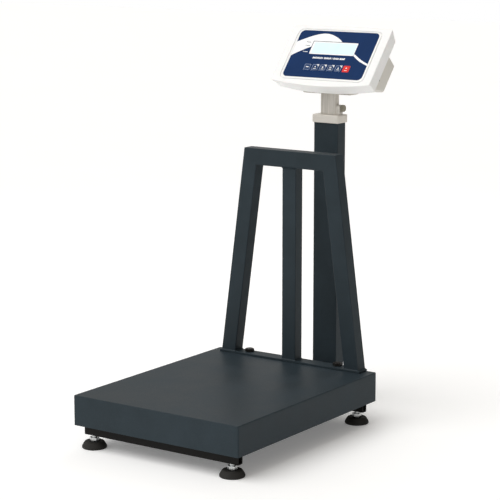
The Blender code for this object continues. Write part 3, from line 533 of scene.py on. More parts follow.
deckRings = [deckRing(inset, high.z - drop) for inset, drop in quarterArc(deck["fold"], deck["steps"])]
hem = deck["hem"]
deckRings += [deckRing(0, low.z + hem), deckRing(hem * 0.3, low.z + hem * 0.3), deckRing(hem, low.z)]
deckRings += [deckRing(deck["sheet"] - hem, low.z), deckRing(deck["sheet"], low.z + hem)]
deckRings += [deckRing(deck["sheet"], high.z - deck["sheet"] - 0.001),
              deckRing(deck["sheet"] + 0.001, high.z - deck["sheet"])]
dress(loft("deckTray", deckRings), "slate", "platform", ["deck_tray"])
deckTop = high.z
print("deck folded")


# Load guard

guard = {
    "section": {"radius": 0.0018, "wall": 0.002, "lip": 0.0001}, "size": (0.035, 0.0295),
    "barSize": (0.034, 0.0265), "front": 0.1175, "top": 0.5592, "topHalf": 0.114, "footHalf": 0.1737,
    "plateEdge": 0.0006, "plateCorner": 0.002,
    "bead": {"leg": 0.0019, "ripple": 0.10, "pitch": 0.0024, "step": 0.0006},
}


def guardWeld(name, ring, up):
    dress(weldBead(name, ring, up, guard["bead"]), "slate", "platform", sharp=60)


low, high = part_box("guard_base_plate")
edge = guard["plateEdge"]
plateRings = [slabRing(low, high, i, guard["plateCorner"], z) for i, z in (
    (edge, deckTop + 0.00005), (0, deckTop + edge), (0, high.z - edge), (edge * 0.3, high.z - edge * 0.3),
    (edge, high.z))]
dress(loft("guardPlate", plateRings), "slate", "platform", ["guard_base_plate"])
plateTop = high.z

legWidth, legDepth = guard["size"]
legY = guard["front"] + legDepth / 2
barZ = guard["top"] - legWidth / 2
outerFoot = Vector((guard["footHalf"], legY, plateTop + 0.0003))
outerTop = Vector((guard["topHalf"], legY, guard["top"]))
legRise = (outerTop - outerFoot).normalized()
inward = Vector((-legRise.z, 0, legRise.x))
legLine = outerFoot + inward * (legWidth / 2)
legFoot = legLine + legRise * ((plateTop - legLine.z) / legRise.z)
mitreCorner = legLine + legRise * ((barZ - legLine.z) / legRise.z)
mitre = (legRise - Vector((1, 0, 0))).normalized()
footOutline = roundedRect((-legWidth / 2, -legDepth / 2), (legWidth / 2, legDepth / 2),
                          guard["section"]["radius"])
for side, name in ((-1, "Left"), (1, "Right")):
    flip = Vector((side, 1, 1))
    widthAxis = Vector((-inward.x, 0, -inward.z)) * flip
    leg = tube(f"guardLeg{name}", legFoot * flip, mitreCorner * flip, widthAxis, guard["size"],
               guard["section"], ends=((0, 0, 1), mitre * flip))
    dress(leg, "slate", "platform", [f"guard_{name.lower()}_leg"])
    ring = tubeRing(footOutline, legFoot * flip, legRise * flip, widthAxis, Vector((0, 0, 1)))
    guardWeld(f"guardWeld{name}", ring, (0, 0, 1))
topBar = tube("guardTopBar", mitreCorner * Vector((-1, 1, 1)), mitreCorner, (0, 0, 1), guard["size"],
              guard["section"], ends=(mitre * Vector((-1, 1, 1)), mitre))
dress(topBar, "slate", "platform", ["guard_top_bar"])
barWidth, barDepth = guard["barSize"]
barY = guard["front"] + barDepth / 2
barTop = guard["top"] - legWidth
centreBar = tube("guardCentreBar", (0, barY, plateTop), (0, barY, barTop), (1, 0, 0), guard["barSize"],
                 guard["section"])
dress(centreBar, "slate", "platform", ["guard_centre_bar"])
barOutline = roundedRect((-barWidth / 2, barY - barDepth / 2), (barWidth / 2, barY + barDepth / 2),
                         guard["section"]["radius"])
guardWeld("guardWeldCentreFoot", atHeight(barOutline, plateTop), (0, 0, 1))
guardWeld("guardWeldCentreHead", atHeight(barOutline, barTop), (0, 0, -1))
print("load guard welded")


# Bolts

def hexagon(acrossFlats, steps, most=2.0):
    points = []
    for step in range(steps):
        angle = 2 * math.pi * step / steps
        pastFlat = (angle + math.pi / 6) % (math.pi / 3) - math.pi / 6
        reach = acrossFlats / 2 * min(1 / math.cos(pastFlat), most)
        points.append((reach * math.cos(angle), reach * math.sin(angle)))
    return points


def hexPart(size, bottom, top, bottomCut, topCut):
    # rings of a hexagon whose corners are turned off at 30 degrees top and bottom
    flats, steps = size["flats"], size["steps"]
    corner = flats / 2 * (2 / math.sqrt(3) - 1)
    rings = []
    shares, slope = (0.0, 0.25, 0.5, 0.75, 1.0), 0.58
    cuts = [(share, bottom + corner * share * slope) for share in shares] if bottomCut else [(1.0, bottom)]
    cuts += [(share, top - corner * share * slope) for share in shares[::-1]] if topCut else [(1.0, top)]
    for share, z in cuts:
        most = 1 + share * (2 / math.sqrt(3) - 1)
        rings.append(atHeight(hexagon(flats * 0.999, steps, most), z))
    return rings


def threadRings(size, bottom, top):
    # a helix on the shank: crest to crest is the pitch, and each ring turns a little further round it
    steps, pitch, depth = size["steps"], size["pitch"], 0.54 * size["pitch"]
    levels = max(2, round((top - bottom) / pitch * 8))
    rings = []
    for level in range(levels + 1):
        z = bottom + (top - bottom) * level / levels
        fade = min(1.0, 4 * level / levels, 4 * (levels - level) / levels)
        ring = []
        for step in range(steps):
            angle = 2 * math.pi * step / steps
            phase = (z / pitch - step / steps) % 1.0
            radius = size["shank"] - depth * fade * abs(2 * phase - 1) * 0.5
            ring.append((radius * math.cos(angle), radius * math.sin(angle), z))
        rings.append(ring)
    return rings


boltSizes = {
    "m10": {"flats": 0.017, "shank": 0.005, "pitch": 0.0015, "steps": 36},
    "m8": {"flats": 0.013, "shank": 0.004, "pitch": 0.00125, "steps": 36},
}
bolts = (
    # nodes, size, head from and to, shank end, nut or None, finish, body, slot; heights above the floor
    (("guard_left_bolt", "guard_right_bolt"), "m10", (0.1128, 0.1192), 0.0949, (0.0979, 0.1059), "blackSteel",
     "platform", "blackened_steel"),
    (("cell_upper_bolt_front", "cell_upper_bolt_rear"), "m8", (0.08945, 0.09465), 0.07085, None, "zinc",
     "platform", "zinc"),
    (("cell_lower_bolt_front", "cell_lower_bolt_rear"), "m8", (0.04545, 0.05065), 0.07055, None, "zinc",
     "base", "zinc"),
    (("stop_bolt_left", "stop_bolt_right"), "m8", (0.0781, 0.0833), 0.03845, None, "zinc", "base", "zinc"),
)
everyBolt = [(node, row[1:]) for row in bolts for node in row[0]]
for node, (sizeName, head, shankEnd, nut, finish, body, slot) in everyBolt:
    size = boltSizes[sizeName]
    hexRings = hexPart(size, head[0], head[1], shankEnd > head[1], shankEnd < head[0])
    if shankEnd > head[1]:
        rings = hexRings + threadRings(size, head[1], shankEnd)
    elif nut:
        rings = threadRings(size, shankEnd, nut[0]) + hexPart(size, nut[0], nut[1], True, False)
        rings += threadRings(size, nut[1], head[0]) + hexRings
    else:
        rings = threadRings(size, shankEnd, head[0]) + hexRings
    title = "".join(word.capitalize() for word in node.split("_"))
    bolt = loft(title[0].lower() + title[1:], rings, matrix=overMiddle(node))
    dress(bolt, finish, body, [node], sharp=24)
print("bolts turned:", len(everyBolt))


# Levelling feet

foot = {
    # radius and height up the rubber cup's outside
    "cup": ((0.0232, 0.0), (0.0240, 0.0002), (0.0247, 0.0008), (0.0250, 0.0016), (0.0250, 0.0040),
            (0.0246, 0.0049), (0.0238, 0.0066), (0.0226, 0.0086), (0.0214, 0.0105), (0.0203, 0.0121),
            (0.0195, 0.0130), (0.0188, 0.0137), (0.0180, 0.0140), (0.0112, 0.0140), (0.0106, 0.0138),
            (0.0102, 0.0132), (0.0060, 0.0130), (0.0054, 0.0128), (0.0053, 0.0062)),
    "hexagon": (0.0143, 0.0220), "stud": (0.0063, 0.0550), "steps": 72,
}
stud = boltSizes["m10"]
for row in ("front", "rear"):
    for column in ("left", "right"):
        place = f"{row}_{column}"
        title = row.capitalize() + column.capitalize()
        middle = overMiddle(f"foot_cup_{place}")
        cupRings = [atHeight(circle(radius, foot["steps"]), z) for radius, z in foot["cup"]]
        dress(loft(f"footCup{title}", cupRings, matrix=middle), "rubber", f"foot_{place}",
              [f"foot_cup_{place}"], sharp=50)
        hexLow, hexHigh = foot["hexagon"]
        studRings = [atHeight(circle(stud["shank"] - 0.0001, stud["steps"]), foot["stud"][0]),
                     atHeight(circle(stud["shank"], stud["steps"]), 0.0135)]
        studRings += hexPart(stud, hexLow, hexHigh, True, True)
        studRings += threadRings(stud, hexHigh + 0.0002, foot["stud"][1])
        dress(loft(f"footStud{title}", studRings, matrix=middle), "zinc", f"stud_{place}",
              [f"foot_stud_{place}"], sharp=24)
print("feet moulded and threaded")


# Column, cap and neck

column = {"section": {"radius": 0.0020, "wall": 0.002, "lip": 0.0003}, "size": (0.0602, 0.032)}
low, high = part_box("column_tube")
columnX, columnY = (low.x + high.x) / 2, (low.y + high.y) / 2
columnTube = tube("columnTube", (columnX, columnY, low.z), (columnX, columnY, high.z), (1, 0, 0),
                  column["size"], column["section"])
dress(columnTube, "slate", "base", ["column_tube"])
columnTop = high.z

cap = {"corner": 0.0036, "lipHeight": 0.0024, "crown": 0.0022, "bore": 0.0053, "spigotInset": 0.0023}
low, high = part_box("column_cap")


def capRing(inset, z):
    return slabRing(low, high, inset, max(cap["corner"] - inset * 0.5, 0.0015), z, 8)


spigotInset = (high.x - low.x - column["size"][0]) / 2 + cap["spigotInset"]
capRings = [capRing(spigotInset, low.z), capRing(spigotInset, columnTop + 0.0002),
            capRing(0.0016, columnTop + 0.0002), capRing(0.0010, columnTop + 0.0003),
            capRing(0.0003, columnTop + 0.0010),
            capRing(0, columnTop + cap["lipHeight"])]
capRings += [capRing(inset, high.z - drop) for inset, drop in quarterArc(cap["crown"], 5)[::-1]]
capRings += [atHeight(circle(cap["bore"] + grow, len(capRings[0]), (columnX, columnY)), z)
             for grow, z in ((0.0004, high.z), (0, high.z - 0.0004), (0, low.z))]
dress(loft("columnCap", capRings, closed=True), "cap", "base", ["column_cap"])

neck = {
    "size": (0.040, 0.016), "corner": 0.0046, "fluteMm": 2.6, "fluteDepth": 0.00016,
    "post": 0.0053, "edge": 0.0005, "lugReach": 0.029, "lugTop": 0.6445, "screwZ": 0.637,
}
low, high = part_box("neck_sleeve")
neckBottom, neckTop = low.z, high.z
neckLow = Vector((-neck["size"][0] / 2, columnY - neck["size"][1] / 2, 0))
neckHigh = Vector((neck["size"][0] / 2, columnY + neck["size"][1] / 2, 0))
rawOutline = evenly(atHeight(roundedRect(neckLow[:2], neckHigh[:2], neck["corner"], 8), 0), 0.0005)


def neckRing(inset, z):
    ring = []
    for point in rawOutline:
        flat = max(0.0, 1 - max(0.0, abs(point.x) - 0.0135) / 0.0015)   # flutes only on the two broad faces
        wave = 0.5 - 0.5 * math.cos(2 * math.pi * point.x * 1000 / neck["fluteMm"])
        inwards = -1 if point.y > columnY else 1
        y = point.y + inwards * (neck["fluteDepth"] * flat * wave)
        shrink = Vector((point.x, point.y - columnY, 0)).normalized() * inset
        ring.append((point.x - shrink.x, y - shrink.y, z))
    return ring


neckRings = [neckRing(neck["edge"], neckBottom), neckRing(0, neckBottom + neck["edge"]),
             neckRing(0, neckTop - neck["edge"]), neckRing(neck["edge"], neckTop)]
boreAngles = [math.atan2(point.y - columnY, point.x) for point in rawOutline]
neckRings += [[(neck["post"] * math.cos(a), columnY + neck["post"] * math.sin(a), z) for a in boreAngles]
              for z in (neckTop, neckBottom)]
dress(loft("neckSleeve", neckRings, closed=True), "neck", "neck", ["neck_sleeve"],
      sharp=50)

lugProfile = [(-0.006, neckBottom), (0.006, neckBottom)]
for step in range(9):
    angle = math.pi * step / 8
    lugProfile.append((0.006 * math.cos(angle), neck["lugTop"] - 0.006 + 0.006 * math.sin(angle)))
lugEdge = 0.0005
lugRings = []
for inset, x in ((0, 0.0175), (0, neck["lugReach"] - lugEdge),
                 (lugEdge * 0.3, neck["lugReach"] - lugEdge * 0.3), (lugEdge, neck["lugReach"])):
    lugRings.append([(x, columnY + y * (1 - inset / 0.006), z + (inset if z < neckBottom + 0.001 else -inset))
                     for y, z in lugProfile])
dress(loft("screwLug", lugRings), "neck", "neck", sharp=40)

knob = {"radius": 0.0075, "from": 0.0293, "to": 0.0372, "grooves": 18, "groove": 0.0007, "shank": 0.0025,
        "steps": 108}


def knobRing(radius, x, groove):
    ring = []
    for step in range(knob["steps"]):
        angle = 2 * math.pi * step / knob["steps"]
        dent = max(0.0, math.cos(knob["grooves"] * angle)) ** 2
        reach = radius - groove * dent
        ring.append((x, columnY + reach * math.cos(angle), neck["screwZ"] + reach * math.sin(angle)))
    return ring


r, g, a, b = knob["radius"], knob["groove"], knob["from"], knob["to"]
knobRings = [knobRing(knob["shank"], 0.0056, 0), knobRing(knob["shank"], a, 0), knobRing(r * 0.62, a, 0),
             knobRing(r * 0.66, a + 0.0004, 0), knobRing(r * 0.93, a + 0.0006, g * 0.6),
             knobRing(r, a + 0.0013, g), knobRing(r, b - 0.0016, g), knobRing(r * 0.97, b - 0.0008, g * 0.8),
             knobRing(r * 0.86, b - 0.0002, g * 0.3), knobRing(r * 0.76, b, 0), knobRing(r * 0.60, b, 0),
             knobRing(r * 0.54, b - 0.0006, 0)]
dress(loft("thumbScrew", knobRings), "khaki", "thumb_screw", ["thumb_screw"], sharp=40)
print("column, cap, neck and thumb screw made")


# Indicator head, in face coordinates: across, up, and out of the face

head = {
    "foot": (0, 0.2310, 0.6950), "tilt": 40.4, "half": 0.1246, "height": 0.1455,
    "bottomBow": 0.011, "topBow": 0.004, "corner": 0.0045, "depth": 0.035, "draft": 0.006, "wall": 0.0025,
    "frontWall": 0.003, "edge": 0.0014,
    "overlay": ((-0.099, 0.0105), (0.099, 0.133)), "overlayCorner": 0.0105, "recess": 0.0009,
    "groove": ((-0.1046, 0.0049), (0.1046, 0.1366)), "grooveWidth": 0.0018, "grooveDepth": 0.0022,
}
inkThick = 0.00005
lean = math.radians(head["tilt"])
faceMatrix = Matrix(((1, 0, 0, head["foot"][0]), (0, math.sin(lean), -math.cos(lean), head["foot"][1]),
                     (0, math.cos(lean), math.sin(lean), head["foot"][2]), (0, 0, 0, 1)))


def panel(half, bottom, top, bottomBow, topBow, radius):
    # a panel whose long edges bow outwards, anticlockwise from its lower right corner
    def edgeAt(u, side):
        share = 1 - (u / half) ** 2
        return top + topBow * share if side > 0 else bottom - bottomBow * share

    points, cornerSteps, edgeSteps = [], 8, 16
    for sideU, sideV in ((1, -1), (1, 1), (-1, 1), (-1, -1)):
        slope = math.atan(2 * (bottomBow if sideV < 0 else topBow) / half)
        u0 = half - radius
        touch = u0 + radius * math.sin(slope)
        v0 = edgeAt(touch, sideV) - sideV * radius * math.cos(slope)
        corner = []
        for step in range(cornerSteps + 1):
            angle = (math.pi / 2 - slope) * step / cornerSteps
            corner.append((sideU * (u0 + radius * math.cos(angle)), v0 + sideV * radius * math.sin(angle)))
        if (sideU > 0) != (sideV > 0):
            corner.reverse()
        points += corner
        if sideU == sideV:
            start = corner[-1][0]
            for step in range(1, edgeSteps):
                u = start * (1 - 2 * step / edgeSteps)
                points.append((u, edgeAt(u, sideV)))
    return points


def faceRing(inset, out):
    outline = panel(head["half"] - inset, inset, head["height"] - inset, head["bottomBow"], head["topBow"],
                    max(head["corner"] - inset, 0.003))
    return atHeight(outline, out)


def areaRing(area, grow, out, radius):
    (u0, v0), (u1, v1) = area
    outline = panel((u1 - u0) / 2 + grow, v0 - grow, v1 + grow, 0, 0, radius)
    return atHeight([(u + (u0 + u1) / 2, v) for u, v in outline], out)


def headSlab(name, area, front, back, radius, edge=0.0, steps=6):
    rings = []
    rounded = ((edge, front), (edge * 0.3, front - edge * 0.3), (0, front - edge), (0, back))
    for inset, out in rounded if edge else ((0, front), (0, back)):
        rings.append(slabRing(*area, inset, max(radius - inset, 0.0002), out, steps))
    return loft(name, rings, matrix=faceMatrix)


def sideCircle(x, v, out, radius, steps):
    return [(x, v + y, out + z) for y, z in circle(radius, steps)]


def inkOrPaintedShadowPiece(name, outlines, finish, body, front):
    # flat printed shapes, or a painted shadow; front is how far their top lies out of the head's face
    levels = (front, front - inkThick)
    parts = [loft(f"{name}{i}", [atHeight(outline, z) for z in levels], matrix=faceMatrix)
             for i, outline in enumerate(outlines)]
    return dress(joinPieces(name, parts), finish, body)


# Front shell: rim, rounded edge, face, groove, recess for the film
rings = [faceRing(head["draft"] + head["wall"], -head["depth"] + 0.0002)]
rings += [faceRing(head["draft"] + 0.0004, -head["depth"]), faceRing(head["draft"], -head["depth"] + 0.0004)]
rings += [faceRing(inset, -drop) for inset, drop in quarterArc(head["edge"], 6)[::-1]]
grooveWidth, grooveDepth = head["grooveWidth"], head["grooveDepth"]
rings += [areaRing(head["groove"], grow, out, head["overlayCorner"] + 0.003) for grow, out in (
    (grooveWidth / 2 + 0.0002, 0.0), (grooveWidth / 2, -0.0002), (grooveWidth * 0.42, -grooveDepth),
    (-grooveWidth * 0.42, -grooveDepth), (-grooveWidth / 2, -0.0002), (-grooveWidth / 2 - 0.0002, 0.0))]
rings += [areaRing(head["overlay"], grow, out, head["overlayCorner"] + grow) for grow, out in (
    (0.0006, 0.0), (0.0003, -0.0002), (0.0003, -head["recess"]))]
innerRings = [faceRing(head["draft"] + head["wall"], -head["depth"] + 0.004),
              faceRing(head["wall"], -head["frontWall"])]
frontShell = loft("frontShell", innerRings[::-1] + rings, matrix=faceMatrix)
dress(frontShell, "ivory", "head", ["front_shell"], sharp=40)

# Rear shell: flange inside the rim, then the box, its pocket for the yoke and its holes
box = {
    "half": (0.1154, 0.115), "bottom": (0.0094, 0.0305), "top": (0.105, 0.103), "corner": 0.006,
    "depth": 0.072, "edge": 0.0026, "flange": 0.0023, "gap": 0.0003,
    "pocketHalf": 0.064, "pocketFront": 0.028, "pocketTop": 0.0453, "tiltBore": 0.0028,
    "hatch": ((-0.0453, 0.0547), (0.0453, 0.0953)), "pivot": (0.0333, -0.0468),
    "sockets": {"load_cell_socket": (0.062, 0.006), "power_socket": (0.085, 0.0038)}, "socketOut": -0.053,
}


def boxRing(share, inset, out):
    sizes = (box["half"], box["bottom"], box["top"])
    half, bottom, top = [near + (far - near) * share for near, far in sizes]
    return atHeight(panel(half - inset, bottom + inset, top - inset, 0, 0, max(box["corner"] - inset, 0.002)),
                    out)


seat = head["draft"] + head["wall"] + box["gap"]
rings = [boxRing(1, head["wall"], -box["depth"] + head["wall"]),
         boxRing(0, head["wall"], -head["depth"] + box["flange"]),
         faceRing(seat, -head["depth"] + box["flange"]), faceRing(seat, -head["depth"]),
         boxRing(0, 0, -head["depth"])]
rings += [boxRing(1, inset, -box["depth"] + drop) for inset, drop in quarterArc(box["edge"], 5)[::-1]]
rearShell = loft("rearShell", rings, matrix=faceMatrix)


def sideWedge(name, profile, half):
    return loft(name, [[(x, v, -d) for d, v in profile] for x in (-half, half)], matrix=faceMatrix)


skin, wallFront, wallTop = 0.0004, box["pocketFront"] - head["wall"], box["pocketTop"] + head["wall"]
well = [(wallFront, 0.003), (head["depth"] - skin, 0.003), (head["depth"] - skin, box["bottom"][0] + skin),
        (box["depth"] - 0.003, box["bottom"][1] + skin), (box["depth"] - 0.003, wallTop),
        (wallFront, wallTop)]
pocket = [(box["pocketFront"], -0.020), (box["depth"] + 0.01, -0.020),
          (box["depth"] + 0.01, box["pocketTop"] - 0.003),
          (box["depth"] - 0.001, box["pocketTop"] - 0.001), (box["depth"] - 0.006, box["pocketTop"]),
          (box["pocketFront"] + 0.002, box["pocketTop"]),
          (box["pocketFront"] + 0.0006, box["pocketTop"] - 0.0006),
          (box["pocketFront"], box["pocketTop"] - 0.002)]
cutWith(rearShell, [sideWedge("pocketWalls", well, box["pocketHalf"] + head["wall"])], "UNION")
pivotV, pivotOut = box["pivot"]
tools = [sideWedge("pocketSpace", pocket, box["pocketHalf"]),
         headSlab("hatchSpace", box["hatch"], -box["depth"] + 0.005, -box["depth"] - 0.01, 0.0033),
         loft("tiltHole", [sideCircle(x, pivotV, pivotOut, box["tiltBore"], 32) for x in (-0.075, 0.075)],
              matrix=faceMatrix)]
for name, (v, bore) in box["sockets"].items():
    tools.append(loft(name + "Hole", [sideCircle(x, v, box["socketOut"], bore + 0.0023, 48)
                                      for x in (-0.13, -0.105)], matrix=faceMatrix))
cutWith(rearShell, tools)
dress(rearShell, "greyIvory", "head", ["rear_shell"], sharp=38)

for name, (v, bore) in box["sockets"].items():
    outFace, wallFace = -0.1174, -0.1156
    barrel, rim = bore + 0.002, bore + 0.004
    profile = [(0.0004, outFace + 0.010), (bore, outFace + 0.010), (bore, outFace + 0.0005),
               (bore + 0.0005, outFace), (rim - 0.0011, outFace), (rim - 0.0004, outFace + 0.0003),
               (rim, outFace + 0.0010), (rim, wallFace), (barrel, wallFace), (barrel, outFace + 0.0140),
               (0.0004, outFace + 0.0140)]
    rings = [sideCircle(x, v, box["socketOut"], radius, 64) for radius, x in profile]
    title = "loadCellSocket" if name.startswith("load") else "powerSocket"
    dress(loft(title, rings, matrix=faceMatrix), "socket", "head", [name], sharp=30)

cover = {"area": ((-0.045, 0.055), (0.045, 0.095)), "corner": 0.003, "thick": 0.0025, "edge": 0.0005,
         "grips": 4, "gripHalf": 0.012, "gripFrom": 0.0865, "gripTo": 0.0880, "gripStep": 0.0032}
coverFace = -box["depth"]
e = cover["edge"]
coverRings = [slabRing(*cover["area"], i, cover["corner"], out) for i, out in (
    (0, coverFace + cover["thick"]), (0, coverFace + e), (e * 0.3, coverFace + e * 0.3), (e, coverFace))]
coverPiece = loft("batteryCover", coverRings, matrix=faceMatrix)
grips = []
for i in range(cover["grips"]):
    v0, v1 = [cover[end] - cover["gripStep"] * i for end in ("gripFrom", "gripTo")]
    area = ((-cover["gripHalf"], v0), (cover["gripHalf"], v1))
    grips.append(headSlab(f"grip{i}", area, coverFace + 0.0007, coverFace - 0.001, 0.0006))
cutWith(coverPiece, grips)
dress(coverPiece, "greyIvory", "head", ["battery_cover"], sharp=30)

caseScrew = {
    "wall": 0.1153, "up": 0.040, "out": -0.0395,
    # radius, and how far out of the wall, from the middle of the head to its hidden foot
    "profile": ((0.0004, 0.0002), (0.0006, 0.0002), (0.0007, 0.0004), (0.0013, 0.0004), (0.0015, 0.0002),
                (0.0015, -0.002)),
}
for side, name in ((-1, "Left"), (1, "Right")):
    rings = [sideCircle(side * (caseScrew["wall"] + x), caseScrew["up"], caseScrew["out"], radius, 24)
             for radius, x in caseScrew["profile"]]
    dress(loft(f"caseScrew{name}", rings, matrix=faceMatrix), "blackSteel", "head",
          sharp=30)
print("head shells moulded")


# Film, window, keys, print, and a painted shadow along the window

film = {"face": -0.0001, "back": -0.0006, "window": ((-0.056, 0.0715), (0.056, 0.1045)), "gap": 0.0003,
        "holeCorner": 0.0023, "cut": 0.002, "cell": ((-0.0512, 0.0737), (0.0543, 0.1018))}
overlay = headSlab("keypadFilm", head["overlay"], film["face"], film["back"], head["overlayCorner"],
                   edge=0.0001, steps=10)
(u0, v0), (u1, v1) = film["window"]
gap = film["gap"]
holeAreas = [((u0 - gap, v0 - gap), (u1 + gap, v1 + gap))]
keys = {
    "columns": (-0.045, -0.0255, -0.006, 0.0135, 0.033, 0.0525), "row": 0.037, "size": 0.0166,
    "corner": 0.0022, "top": 0.0005, "foot": -0.0004, "edge": 0.0004,
    "line": ((0.0071, 0.0017), (0.00645, 0.0011)),
}
keyHalf = keys["size"] / 2
holeHalf = keyHalf + gap
holeAreas += [((u - holeHalf, keys["row"] - holeHalf), (u + holeHalf, keys["row"] + holeHalf))
              for u in keys["columns"]]
cutWith(overlay, [headSlab(f"filmHole{i}", area, film["cut"], -film["cut"], film["holeCorner"])
                  for i, area in enumerate(holeAreas)])
dress(overlay, "overlay", "head", ["keypad_overlay"], sharp=30)

lens = headSlab("displayWindow", film["window"], film["face"], -0.0008, 0.002, edge=0.0002)
dress(lens, "whiteInk", "head", ["display_window"], sharp=30)
lcd = headSlab("displayCell", film["cell"], film["face"] + 0.00006, film["face"] - 0.0003, 0.0008)
dress(lcd, "lcd", "head", sharp=30)


def arcPoints(points, count):
    # a smooth line through the points (Catmull-Rom)
    ends = [points[0]] + list(points) + [points[-1]]
    line = []
    for p0, p1, p2, p3 in zip(ends, ends[1:], ends[2:], ends[3:]):
        for step in range(count):
            t = step / count
            line.append(tuple(0.5 * (2 * b1 + (c1 - a1) * t + (2 * a1 - 5 * b1 + 4 * c1 - d1) * t * t
                                     + (3 * b1 - a1 - 3 * c1 + d1) * t ** 3)
                              for a1, b1, c1, d1 in zip(p0, p1, p2, p3)))
    return line + [points[-1]]


def millimetres(points):
    return [(u / 1000, v / 1000) for u, v in points]


def bar(u0, v0, u1, v1, lean=0.0):
    return millimetres([(u0, v0), (u1, v0), (u1 + lean, v1), (u0 + lean, v1)])


inkTop = film["face"] + 0.00005
sweepTop = arcPoints([(-98.9, 101.5), (-84.6, 109.0), (-68.0, 117.2), (-50.0, 123.6), (-34.0, 126.0),
                      (-18.0, 123.9), (-3.0, 117.8), (8.0, 111.4), (15.5, 104.9)], 6)
sweepFoot = arcPoints([(-56.3, 90.6), (-65.0, 86.4), (-76.0, 80.2), (-88.0, 72.8), (-98.9, 64.6)], 6)
tailTop = arcPoints([(57.0, 76.5), (64.0, 72.0), (73.5, 65.6), (85.5, 59.0), (98.9, 53.0)], 6)
tailFoot = arcPoints([(98.9, 48.2), (83.0, 54.9), (69.5, 62.2), (60.5, 68.6), (56.4, 71.2)], 6)
# a rule of plain blocks where the capacity plate would be
blockRuns = ((-42.0, 8, 2.3), (-13.0, 5, 2.5), (6.2, 1, 1.0), (10.0, 4, 2.6), (26.0, 3, 3.4))
captionBlocks = []
for start, count, width in blockRuns:
    for i in range(count):
        left = start + i * (width + 1.0)
        captionBlocks.append(bar(left, 59.7, left + width, 64.3 - 0.7 * (i % 2), 0.8))
printsAndPaintedShadow = (
    ("printSweep", "whiteInk", [millimetres(sweepTop + [(-56.4, 104.9)] + sweepFoot)]),
    ("printTail", "whiteInk", [millimetres(tailTop + tailFoot)]),
    # painted shadow: a dark strip along the window's top and left edges stands in for the shade inside its
    # recess
    ("paintedWindowShadow", "darkInk", [bar(-57.2, 104.6, 17.0, 105.6), bar(-57.2, 80.0, -56.3, 105.6)]),
    ("printLabelsDark", "darkInk", [bar(-73.5, 101.6, -71.6, 103.2), bar(-70.6, 101.2, -62.4, 102.4),
                                    bar(-73.0, 92.4, -71.0, 94.0), bar(-70.0, 91.8, -62.2, 93.0)]),
    ("printLabelPale", "whiteInk", [bar(-73.0, 76.2, -70.6, 77.6), bar(-69.6, 75.6, -61.0, 77.0)]),
    ("printCaptionBlocks", "whiteInk", captionBlocks),
)
for name, finish, outlines in printsAndPaintedShadow:
    # dark ink, and the painted window shadow, lie over the white
    inkOrPaintedShadowPiece(name, outlines, finish, "head", inkTop + (0.00002 if finish == "darkInk" else 0))


def keyMarks(number, u, v):
    # plain signs: a ring, an arrow, bars, a dot; none is a word
    u, v = u * 1000, v * 1000
    foot = bar(u - 3.4, v - 4.2, u + 3.4, v - 3.0)
    corner = millimetres([(u + 1.2, v + 7.9), (u + 7.9, v + 7.9), (u + 7.9, v + 1.6)])
    if number == 1:
        return [bar(u - 3.4, v - 0.9, u + 3.4, v + 1.1)]
    if number == 2:
        return [millimetres([(u - 2.0, v + 1.2), (u + 1.6, v + 3.2), (u + 1.6, v - 0.8)]), foot, corner]
    if number == 3:
        return [millimetres(circle(1.8, 24, (u - 0.4, v + 1.2))), foot, corner]
    if number == 4:
        return [bar(u - 3.2, v - 0.4, u + 2.4, v + 0.6), bar(u - 3.2, v + 1.8, u + 2.4, v + 2.8), foot,
                corner]
    if number == 5:
        return [millimetres([(u - 2.4, v - 0.6), (u + 1.8, v - 0.6), (u - 0.3, v + 3.0)]), foot, corner]
    return [millimetres(circle(1.5, 24, (u - 0.2, v + 1.8))), bar(u - 3.2, v - 4.6, u + 3.2, v - 3.6)]


for number, u in enumerate(keys["columns"], 1):
    v, e = keys["row"], keys["edge"]
    rings = []
    for inset, out in ((0.0012, keys["top"]), (0.0007, keys["top"] - e * 0.06),
                       (e * 0.6, keys["top"] - e * 0.35), (e * 0.15, keys["top"] - e * 0.8),
                       (0, keys["top"] - e * 1.3), (0, keys["foot"])):
        rings.append(slabRing((u - keyHalf, v - keyHalf), (u + keyHalf, v + keyHalf), inset,
                              max(keys["corner"] - inset, 0.0006), out, 8))
    last = number == len(keys["columns"])
    finish, slot = ("keyRed", "red_key_film") if last else ("keyBlue", "blue_key_film")
    node = f"key_{number}"
    dress(loft(f"key{number}", rings, matrix=faceMatrix), finish, node, [node], sharp=60)
    inkOrPaintedShadowPiece(f"key{number}Mark", keyMarks(number, u, v), "whiteInk", node, keys["top"] + 0.00004)
    if not last:
        outer, inner = [roundedRect((u - half, v - half), (u + half, v + half), radius, 6)
                        for half, radius in keys["line"]]
        top, bottom = keys["top"] + 0.00004, keys["top"] - 0.00002
        rings = [atHeight(outer, top), atHeight(outer, bottom), atHeight(inner, bottom), atHeight(inner, top)]
        line = loft(f"key{number}Line", rings, closed=True, matrix=faceMatrix)
        dress(line, "paleInk", node)
print("film, window, keys and print laid")
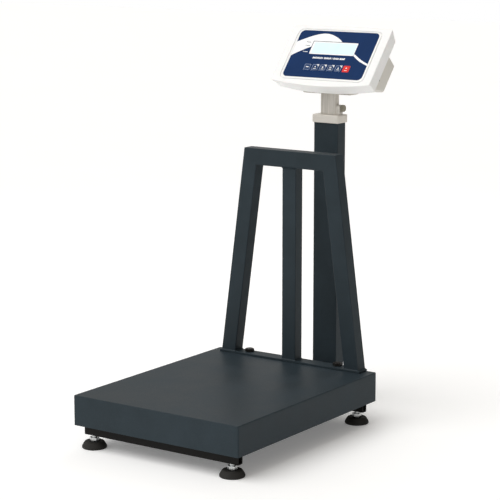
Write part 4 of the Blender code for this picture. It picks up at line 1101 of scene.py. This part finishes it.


# Load cell: a bar with a machined pad at each end

cell = {"padHeight": 0.002, "pad": 0.041, "slotHalf": 0.021, "slotRadius": 0.007, "bore": 0.0043,
        "middle": 0.0003, "keep": 0.977}
low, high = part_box("load_cell")
pad, step = cell["pad"], cell["padHeight"]
side = [(low.y, low.z), (low.y + pad, low.z), (low.y + pad, low.z + step), (high.y, low.z + step),
        (high.y, high.z), (high.y - pad, high.z), (high.y - pad, high.z - step), (low.y, high.z - step)]
loadCell = loft("loadCell", [[(x, y, z) for y, z in side] for x in (low.x, high.x)])
middleY, middleZ = (low.y + high.y) / 2, (low.z + high.z) / 2
slot = roundedRect((middleY - cell["slotHalf"], middleZ - cell["slotRadius"]),
                   (middleY + cell["slotHalf"], middleZ + cell["slotRadius"]), cell["slotRadius"] * 0.999, 8)
tools = [loft("cellSlot", [[(x, y, z) for y, z in slot] for x in (low.x - 0.01, high.x + 0.01)])]
for row in ("front", "rear"):
    for level, bottom, top in (("lower", low.z - 0.01, middleZ + cell["middle"]),
                               ("upper", middleZ - 3 * cell["middle"], high.z + 0.01)):
        boltLow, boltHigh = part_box(f"cell_{level}_bolt_{row}")
        centre = ((boltLow.x + boltHigh.x) / 2, (boltLow.y + boltHigh.y) / 2)
        tools.append(loft(f"{level}{row}Hole",
                          [atHeight(circle(cell["bore"], 32, centre), z) for z in (bottom, top)]))
cutWith(loadCell, tools)
dress(loadCell, "aluminium", "base", ["load_cell"], sharp=30)
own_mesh(loadCell)
print("load cell milled")


# CAD pieces whose shape is right as it is

keptNodes = {
    "frameBlack": ("base_front_beam", "base_rear_beam", "base_left_rail", "base_right_rail",
                   "cell_mount_plate", "spider_plate", "spider_left_rail", "spider_right_rail",
                   "column_bracket"),
    "rubber": ("deck_pad_front_left", "deck_pad_front_right", "deck_pad_rear_left", "deck_pad_rear_right"),
    "zinc": ("swivel_post", "tilt_screw_left", "tilt_screw_right"),
    "neck": ("tilt_yoke",),
    "board": ("display_module", "main_board"),
    "battery": ("battery_pack",),
}
for finish, names in keptNodes.items():
    for name in names:
        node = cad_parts[name]
        node.data.materials.clear()
        node.data.materials.append(finishes[finish])
finished = sum(keptNodes.values(), ())
leftPlain = [name for name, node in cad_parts.items() if not node.hide_render and name not in finished]
print("kept CAD nodes finished:", len(finished), "left plain:", leftPlain)
